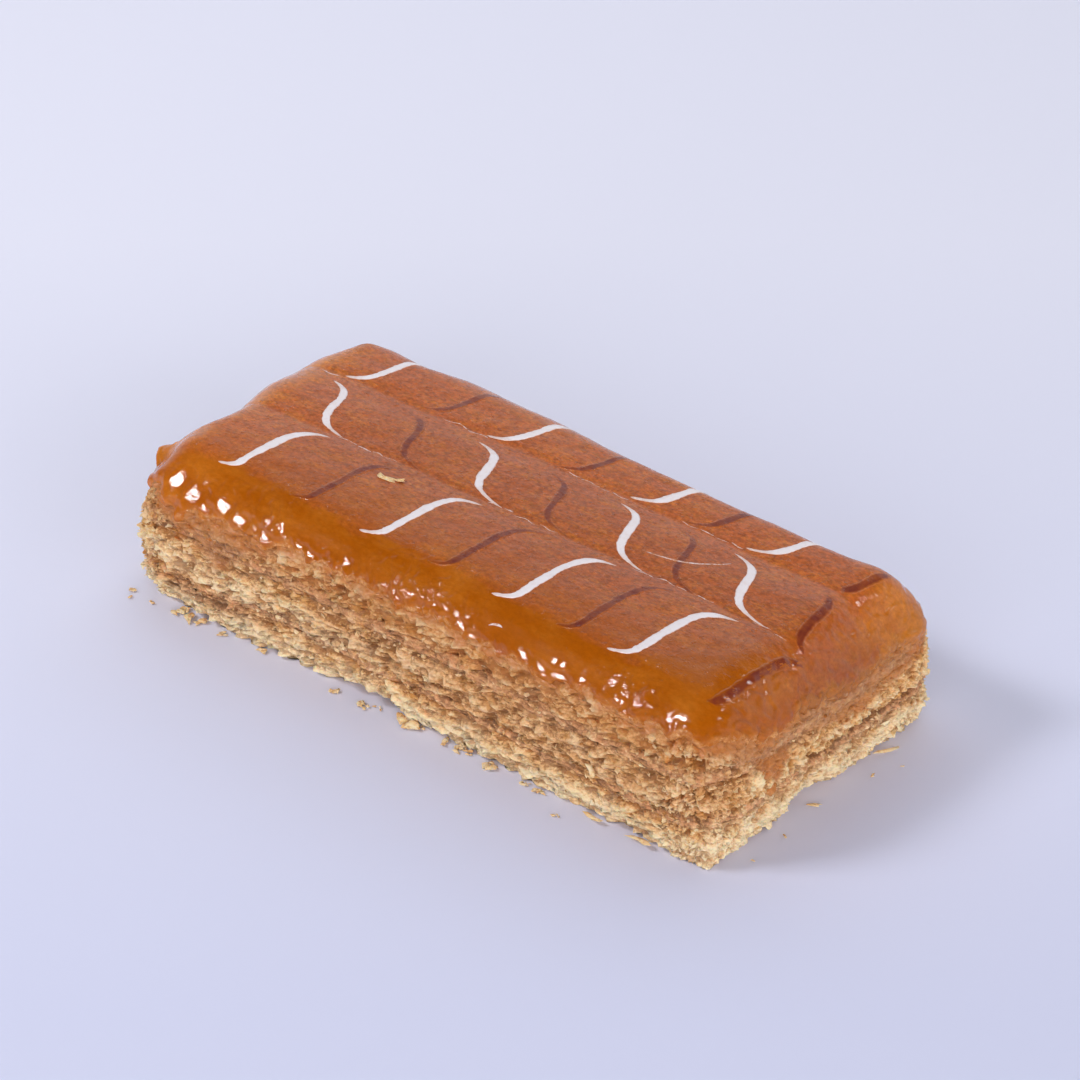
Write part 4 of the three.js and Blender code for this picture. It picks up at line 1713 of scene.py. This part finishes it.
# Crumbs that lie beside the foot: place and size.
FOOT_CRUMBS = (
    ((-12.9, -28.9), 1.3),
    ((-7.0, -28.6), 1.7),
    ((-4.8, -28.0), 1.2),
    ((1.6, -27.7), 2.6),
    ((3.7, -27.6), 1.2),
    ((8.8, -27.6), 1.6),
    ((11.2, -27.3), 2.0),
    ((13.2, -27.5), 1.2),
    ((24.8, -28.0), 1.2),
    ((33.3, -30.9), 1.0),
    ((-41.5, -28.9), 1.8),
    ((-36.5, -28.9), 1.2),
    ((-51.2, -30.0), 1.0),
    ((-55.0, -30.9), 0.7),
    ((61.5, -20.5), 0.6),
    ((61.2, -13.0), 0.7),
    ((61.9, 7.4), 0.7),
    ((63.4, 12.0), 0.7),
    ((-56.2, -29.2), 1.3),
    ((-45.5, -28.8), 2.2),
    ((-29.0, -28.3), 1.4),
    ((17.5, -28.2), 1.8),
    ((27.5, -28.2), 1.3),
    ((-12.0, 30.2), 1.8),
    ((18.0, 29.8), 1.3),
    ((-61.0, 6.0), 1.5),
)


def flake_shapes(rng):
    """The vertices and faces of a few thin, ragged flakes, about 1 mm across."""
    shapes = []
    for _ in range(FLAKE_SHAPES):
        start_piece()
        bpy.ops.mesh.primitive_uv_sphere_add(
            segments=FLAKE_SEGMENTS, ring_count=FLAKE_RINGS, radius=0.5 * MM
        )
        flake = bpy.context.object
        mesh = flake.data
        points = read_points(mesh)
        around = np.arctan2(points[:, 1], points[:, 0])
        phases = rng.uniform(0.0, 2.0 * math.pi, 3)
        ragged = 1.0 + 0.26 * np.cos(2 * around + phases[0]) + 0.24 * np.cos(3 * around + phases[1])
        points[:, :2] *= ragged[:, None] * rng.uniform(0.72, 1.18, (len(points), 1))
        points[:, 2] += points[:, 0] ** 2 * rng.uniform(-1.0, 1.0)
        shapes.append((points, [face.vertices[:] for face in mesh.polygons]))
        bpy.data.objects.remove(flake)
        bpy.data.meshes.remove(mesh)
    return shapes


def turned(angles):
    """Matrices that turn about the length, the width and then the upright, in radians."""
    cos_r, cos_p, cos_t = np.cos(angles).T
    sin_r, sin_p, sin_t = np.sin(angles).T
    rows = (
        (cos_t * cos_p, cos_t * sin_p * sin_r - sin_t * cos_r, cos_t * sin_p * cos_r + sin_t * sin_r),
        (sin_t * cos_p, sin_t * sin_p * sin_r + cos_t * cos_r, sin_t * sin_p * cos_r - cos_t * sin_r),
        (-sin_p, cos_p * sin_r, cos_p * cos_r),
    )
    return np.moveaxis(np.array(rows), 2, 0)


SHARP = math.radians(50.0)  # edges of a flake that turn by more than this stay sharp


def joined_flakes(name, places, spans, angles, values, rng):
    """One mesh of many flakes, each a copy of a shape with its own size and turn."""
    shapes = flake_shapes(rng)
    kinds = rng.integers(0, len(shapes), len(places))
    matrices = turned(angles)
    vertices, faces, owners = [], [], []
    start = 0
    for index, kind in enumerate(kinds):
        shape, sides = shapes[kind]
        vertices.append((shape * spans[index]) @ matrices[index].T + places[index])
        faces.extend([tuple(v + start for v in side) for side in sides])
        owners.append(np.full(len(shape), index))
        start += len(shape)
    points = np.concatenate(vertices)
    points[:, 2] = np.maximum(points[:, 2], 0.0)
    owners = np.concatenate(owners)
    mesh = bpy.data.meshes.new(name)
    mesh.from_pydata((points * MM).tolist(), [], faces)
    for key, numbers in values.items():
        write_values(mesh, **{key: np.broadcast_to(numbers, len(places))[owners]})
    piece = bpy.data.objects.new(name, mesh)
    bpy.context.scene.collection.objects.link(piece)
    start_piece()
    piece.select_set(True)
    bpy.context.view_layer.objects.active = piece
    bpy.ops.object.shade_smooth_by_angle(angle=SHARP)
    return piece


SIDES = ("bottom_sheet", "lower_filling", "middle_sheet", "upper_filling", "top_sheet")
CLEAR_OF_GLAZE = 0.9  # how far below the glaze's edge the loose flakes stay
CLEAR_OF_FLOOR = 0.25
LEAST_OUTWARD = 0.3  # how far outwards a spot must face to carry a flake
CALM_END = (56.0, 0.4)  # past this place only a share of the spots carry one


def side_places(count, rng):
    """Places on the flaky sides, picked at random, with the outward directions."""
    places, normals = [], []
    calm_from, calm_share = CALM_END
    for name in SIDES:
        mesh = bpy.data.objects[name].data
        points, facing = read_points(mesh), read_normals(mesh)
        out = (facing[:, :2] * outward(points)).sum(axis=1)
        below = points[:, 2] < glaze_edge(on_outline(points)) - CLEAR_OF_GLAZE
        keep = (out > LEAST_OUTWARD) & below & (points[:, 2] > CLEAR_OF_FLOOR)
        keep &= (points[:, 0] < calm_from) | (rng.random(len(points)) < calm_share)
        places.append(points[keep])
        normals.append(facing[keep])
    places, normals = np.concatenate(places), np.concatenate(normals)
    picked = rng.choice(len(places), count, replace=False)
    return places[picked], normals[picked]


FLAKE_LENGTH = 0.80  # the middle length of the loose flakes, in millimetres
FLAKE_LENGTHS = (0.35, 2.3)  # the least and the greatest
LENGTH_SPREAD = 0.42
FLAT_SHARE = 0.62  # how many are thin flakes; the others are thicker grains
FLAT_THICKNESS = (0.14, 0.24)  # as a share of the length, as the next two are
GRAIN_THICKNESS = (0.30, 0.70)
FLAKE_WIDTH = (0.50, 0.95)
EDGEWISE_SHARE = 0.35  # how many stand on edge
FLAKE_PROUD = (-0.42, 0.08)  # how far they stand out of the side, as a share of the width
TURN_SPREAD = (0.40, 0.28, 0.5)  # how widely their roll, pitch and turn differ


def side_flakes():
    """Thin flakes and grains that stand out from the sides."""
    rng = np.random.default_rng(7)
    count = sizes().loose_flakes
    places, normals = side_places(count, rng)
    length = rng.lognormal(math.log(FLAKE_LENGTH), LENGTH_SPREAD, count)
    length = np.clip(length, *FLAKE_LENGTHS)
    flat = rng.random(count) < FLAT_SHARE
    width = length * rng.uniform(*FLAKE_WIDTH, count)
    thin, thick = rng.uniform(*FLAT_THICKNESS, count), rng.uniform(*GRAIN_THICKNESS, count)
    spans = np.column_stack([length, width, length * np.where(flat, thin, thick)])
    away = outward(places)
    edgewise = np.where(rng.random(count) < EDGEWISE_SHARE, math.pi / 2, 0.0)
    roll, pitch, turn = (rng.normal(0.0, spread, count) for spread in TURN_SPREAD)
    facing = np.arctan2(away[:, 1], away[:, 0]) + math.pi / 2
    proud = rng.uniform(*FLAKE_PROUD, count) * width
    places = places + normals * proud[:, None]
    places[:, 2] = np.maximum(places[:, 2], CLEAR_OF_FLOOR + 0.2 * width)
    values = {
        "tone": rng.normal(0.0, 0.7, count),
        "soak": np.maximum(soaking(on_outline(places), places), browning(places)),
        "stain": staining(places) * rng.uniform(0.0, 1.0, count),
        "relief": rng.uniform(0.35, 0.90, count),
        "cream": creaminess_and_painted_light(places),
    }
    angles = np.column_stack([edgewise + roll, pitch, facing + turn])
    return joined_flakes("side_flakes", places, spans, angles, values, rng)


LOOSE_LOOK = {"soak": 0.0, "stain": 0.0, "cream": 0.2}  # flakes that lie loose are dry and pale


def single_flakes():
    """The few larger flakes that catch the eye."""
    rng = np.random.default_rng(11)
    places = np.array([chip.place for chip in SINGLE_CHIPS])
    spans = np.array([(chip.length, chip.width, chip.thickness) for chip in SINGLE_CHIPS])
    angles = np.radians([(0.0, chip.pitch, chip.turn) for chip in SINGLE_CHIPS])
    values = {"tone": [chip.tone for chip in SINGLE_CHIPS], "relief": 0.8, **LOOSE_LOOK}
    return joined_flakes("single_flakes", places, spans, angles, values, rng)


def foot_crumbs():
    """Crumbs that have dropped beside the foot."""
    rng = np.random.default_rng(19)
    places, spans = [], []
    for (x, y), size in FOOT_CRUMBS:
        for _ in range(1 + int(2.5 * size)):
            grain = size * rng.uniform(0.45, 0.95)
            spread = rng.normal(0.0, 0.3 * size, 2)
            spans.append(grain * np.array((1.0, rng.uniform(0.5, 0.9), rng.uniform(0.25, 0.5))))
            places.append((x + spread[0], y + spread[1], 0.5 * spans[-1][2] + 0.02))
    count = len(places)
    roll, pitch = rng.normal(0.0, 0.15, count), rng.normal(0.0, 0.15, count)
    angles = np.column_stack([roll, pitch, rng.uniform(0.0, 2.0 * math.pi, count)])
    values = {
        "tone": rng.normal(0.2, 0.4, count),
        "relief": rng.uniform(0.5, 0.9, count),
        **LOOSE_LOOK,
    }
    return joined_flakes("foot_crumbs", np.array(places), np.array(spans), angles, values, rng)


class MESH_OT_pastry_flakes(bpy.types.Operator):
    """Scatter loose flakes and crumbs over the sides and beside the foot"""

    bl_idname = "mesh.pastry_flakes"
    bl_label = "Flakes and crumbs"

    def execute(self, context):
        material = bpy.data.materials["flaky pastry"]
        for piece in (side_flakes(), single_flakes(), foot_crumbs()):
            finish_piece(piece, material)
        return {"FINISHED"}


# ---- Stage ----


class SCENE_OT_pastry_stage(bpy.types.Operator):
    """Set up the floor, the studio lights and the camera"""

    bl_idname = "scene.pastry_stage"
    bl_label = "Stage"

    def execute(self, context):
        add_floor()
        add_lights()
        add_room()
        add_camera()
        return {"FINISHED"}


FLOOR_SIZE = 6.0
FLOOR_DROP = -0.0001  # just under the slice, so that the two never share a plane
# Painted light: the floor's colour grows lighter towards the back.
FLOOR_FADE_WAY = (-0.66, 0.75, 0.0)  # the way in which the floor grows lighter
FLOOR_FADE = (-0.09, 0.13)  # from where to where it does, in metres


def add_floor():
    """A pale floor under the slice, with painted light that makes it lighter towards the back."""
    start_piece()
    bpy.ops.mesh.primitive_plane_add(size=FLOOR_SIZE, location=(0.0, 0.0, FLOOR_DROP))
    floor = bpy.context.object
    floor.name = "floor"
    material, tree, shader = new_material("pale floor")
    away = vector_node(tree, "DOT_PRODUCT", {0: object_place(tree), 1: FLOOR_FADE_WAY})
    share = remap(tree, away.outputs["Value"], *FLOOR_FADE)
    colour = mix_colours(tree, share, colours().floor, colours().floor_back_painted_light)
    feed(tree, shader, {"Base Color": colour, "Roughness": 0.9})
    floor.data.materials.append(material)


def add_softbox(softbox):
    """A square softbox that faces the slice."""
    data = bpy.data.lights.new(softbox.name, "AREA")
    data.shape = "SQUARE"
    data.size = softbox.size
    data.energy = softbox.power
    light = bpy.data.objects.new(softbox.name, data)
    bpy.context.scene.collection.objects.link(light)
    light.location = Vector(softbox.way).normalized() * softbox.distance
    light.rotation_euler = (-light.location).to_track_quat("-Z", "Y").to_euler()
    return light


# Softboxes: name, the way to them, their distance, size and power. The first only
# shade, and the others are only mirrored, by the wet glaze.
Softbox = namedtuple("Softbox", "name way distance size power")
SHADING_LIGHTS = (
    Softbox("key light", (-0.52, -0.52, 0.68), 1.1, 0.30, 5.2),
    Softbox("overhead light", (-0.30, 0.50, 0.90), 1.0, 1.0, 3.5),
    Softbox("front light", (0.45, -0.80, 0.16), 1.5, 1.2, 15.5),
    Softbox("right light", (0.93, -0.20, 0.13), 1.5, 1.2, 14.0),
)
MIRRORED_LIGHTS = (
    Softbox("key mirrored", (-0.186, -0.780, 0.596), 1.1, 0.19, 12.0),
    Softbox("side mirrored", (0.49, 0.285, 0.81), 1.1, 0.12, 2.2),
)


def add_lights():
    """Soft lights that only shade, and two softboxes that only the wet glaze mirrors."""
    for softbox in SHADING_LIGHTS:
        add_softbox(softbox).visible_glossy = False
    for softbox in MIRRORED_LIGHTS:
        add_softbox(softbox).visible_diffuse = False


ROOM_COLOUR = (0.93, 0.94, 1.0, 1.0)
ROOM_BACK = 0.95  # brightness of the pale wall behind the slice
ROOM_FRONT = 0.10
WALL_EDGE = (-0.15, 0.25)  # directions, across the slice, between which the wall comes in
WALL_TOP = (0.70, 0.55)  # heights at which the wall has ended and is whole
CEILING = (0.45, 0.75)  # heights between which the room in front darkens
CEILING_SHARE = 0.30  # how bright it still is above them


def add_room():
    """A pale wall behind the slice, under a dark ceiling."""
    world = bpy.data.worlds.new("pale studio")
    world.use_nodes = True
    tree = world.node_tree
    background = tree.nodes["Background"]
    way = add_node(tree, "ShaderNodeTexCoord").outputs["Generated"]
    parts = add_node(tree, "ShaderNodeSeparateXYZ", {0: way})
    back = remap(tree, parts.outputs[1], *WALL_EDGE)
    wall = times(tree, back, remap(tree, parts.outputs[2], *WALL_TOP))
    ceiling = remap(tree, parts.outputs[2], *CEILING, 1.0, CEILING_SHARE)
    strength = remap(tree, wall, 0.0, 1.0, ROOM_FRONT, ROOM_BACK)
    strength = times(tree, strength, math_node(tree, "MAXIMUM", ceiling, wall))
    feed(tree, background, {0: ROOM_COLOUR, 1: strength})
    bpy.context.scene.world = world
    bpy.context.scene.view_settings.view_transform = "Standard"


CAMERA_TARGET = Vector((-0.01778, 0.02389, 0.0))
CAMERA_AZIMUTH = math.radians(41.18)
CAMERA_ELEVATION = math.radians(32.41)
CAMERA_DISTANCE = 0.684
CAMERA_LENS = 142.6
CAMERA_SENSOR = 36.0


def add_camera():
    """A long lens that looks down on the slice's near corner."""
    level, up = math.cos(CAMERA_ELEVATION), math.sin(CAMERA_ELEVATION)
    back = Vector((math.sin(CAMERA_AZIMUTH) * level, -math.cos(CAMERA_AZIMUTH) * level, up))
    data = bpy.data.cameras.new("camera")
    data.lens = CAMERA_LENS
    data.sensor_width = CAMERA_SENSOR
    camera = bpy.data.objects.new("camera", data)
    bpy.context.scene.collection.objects.link(camera)
    camera.location = CAMERA_TARGET + CAMERA_DISTANCE * back
    camera.rotation_euler = (-back).to_track_quat("-Z", "Y").to_euler()
    bpy.context.scene.camera = camera


STEPS = (
    SCENE_OT_pastry_stage,
    MESH_OT_pastry_sheets,
    MESH_OT_pastry_fillings,
    MESH_OT_pastry_glaze,
    MESH_OT_pastry_icing,
    MESH_OT_pastry_flakes,
)


class VIEW3D_PT_pastry(bpy.types.Panel):
    """Lists the steps that build the slice"""

    bl_label = "Mille feuille"
    bl_idname = "VIEW3D_PT_pastry"
    bl_space_type = "VIEW_3D"
    bl_region_type = "UI"
    bl_category = "Pastry"

    def draw(self, context):
        for step in STEPS:
            self.layout.operator(step.bl_idname)


CLASSES = (PastrySizes, PastryColours, *STEPS, VIEW3D_PT_pastry)


def register():
    for each in CLASSES:
        bpy.utils.register_class(each)
    bpy.types.Scene.pastry_sizes = PointerProperty(type=PastrySizes)
    bpy.types.Scene.pastry_colours = PointerProperty(type=PastryColours)


def unregister():
    del bpy.types.Scene.pastry_colours
    del bpy.types.Scene.pastry_sizes
    for each in reversed(CLASSES):
        bpy.utils.unregister_class(each)


def main():
    """Builds the scene step by step."""
    register()
    bpy.ops.scene.pastry_stage()
    bpy.ops.mesh.pastry_sheets()
    bpy.ops.mesh.pastry_fillings()
    bpy.ops.mesh.pastry_glaze()
    bpy.ops.mesh.pastry_icing()
    bpy.ops.mesh.pastry_flakes()


if __name__ == "__main__":
    main()
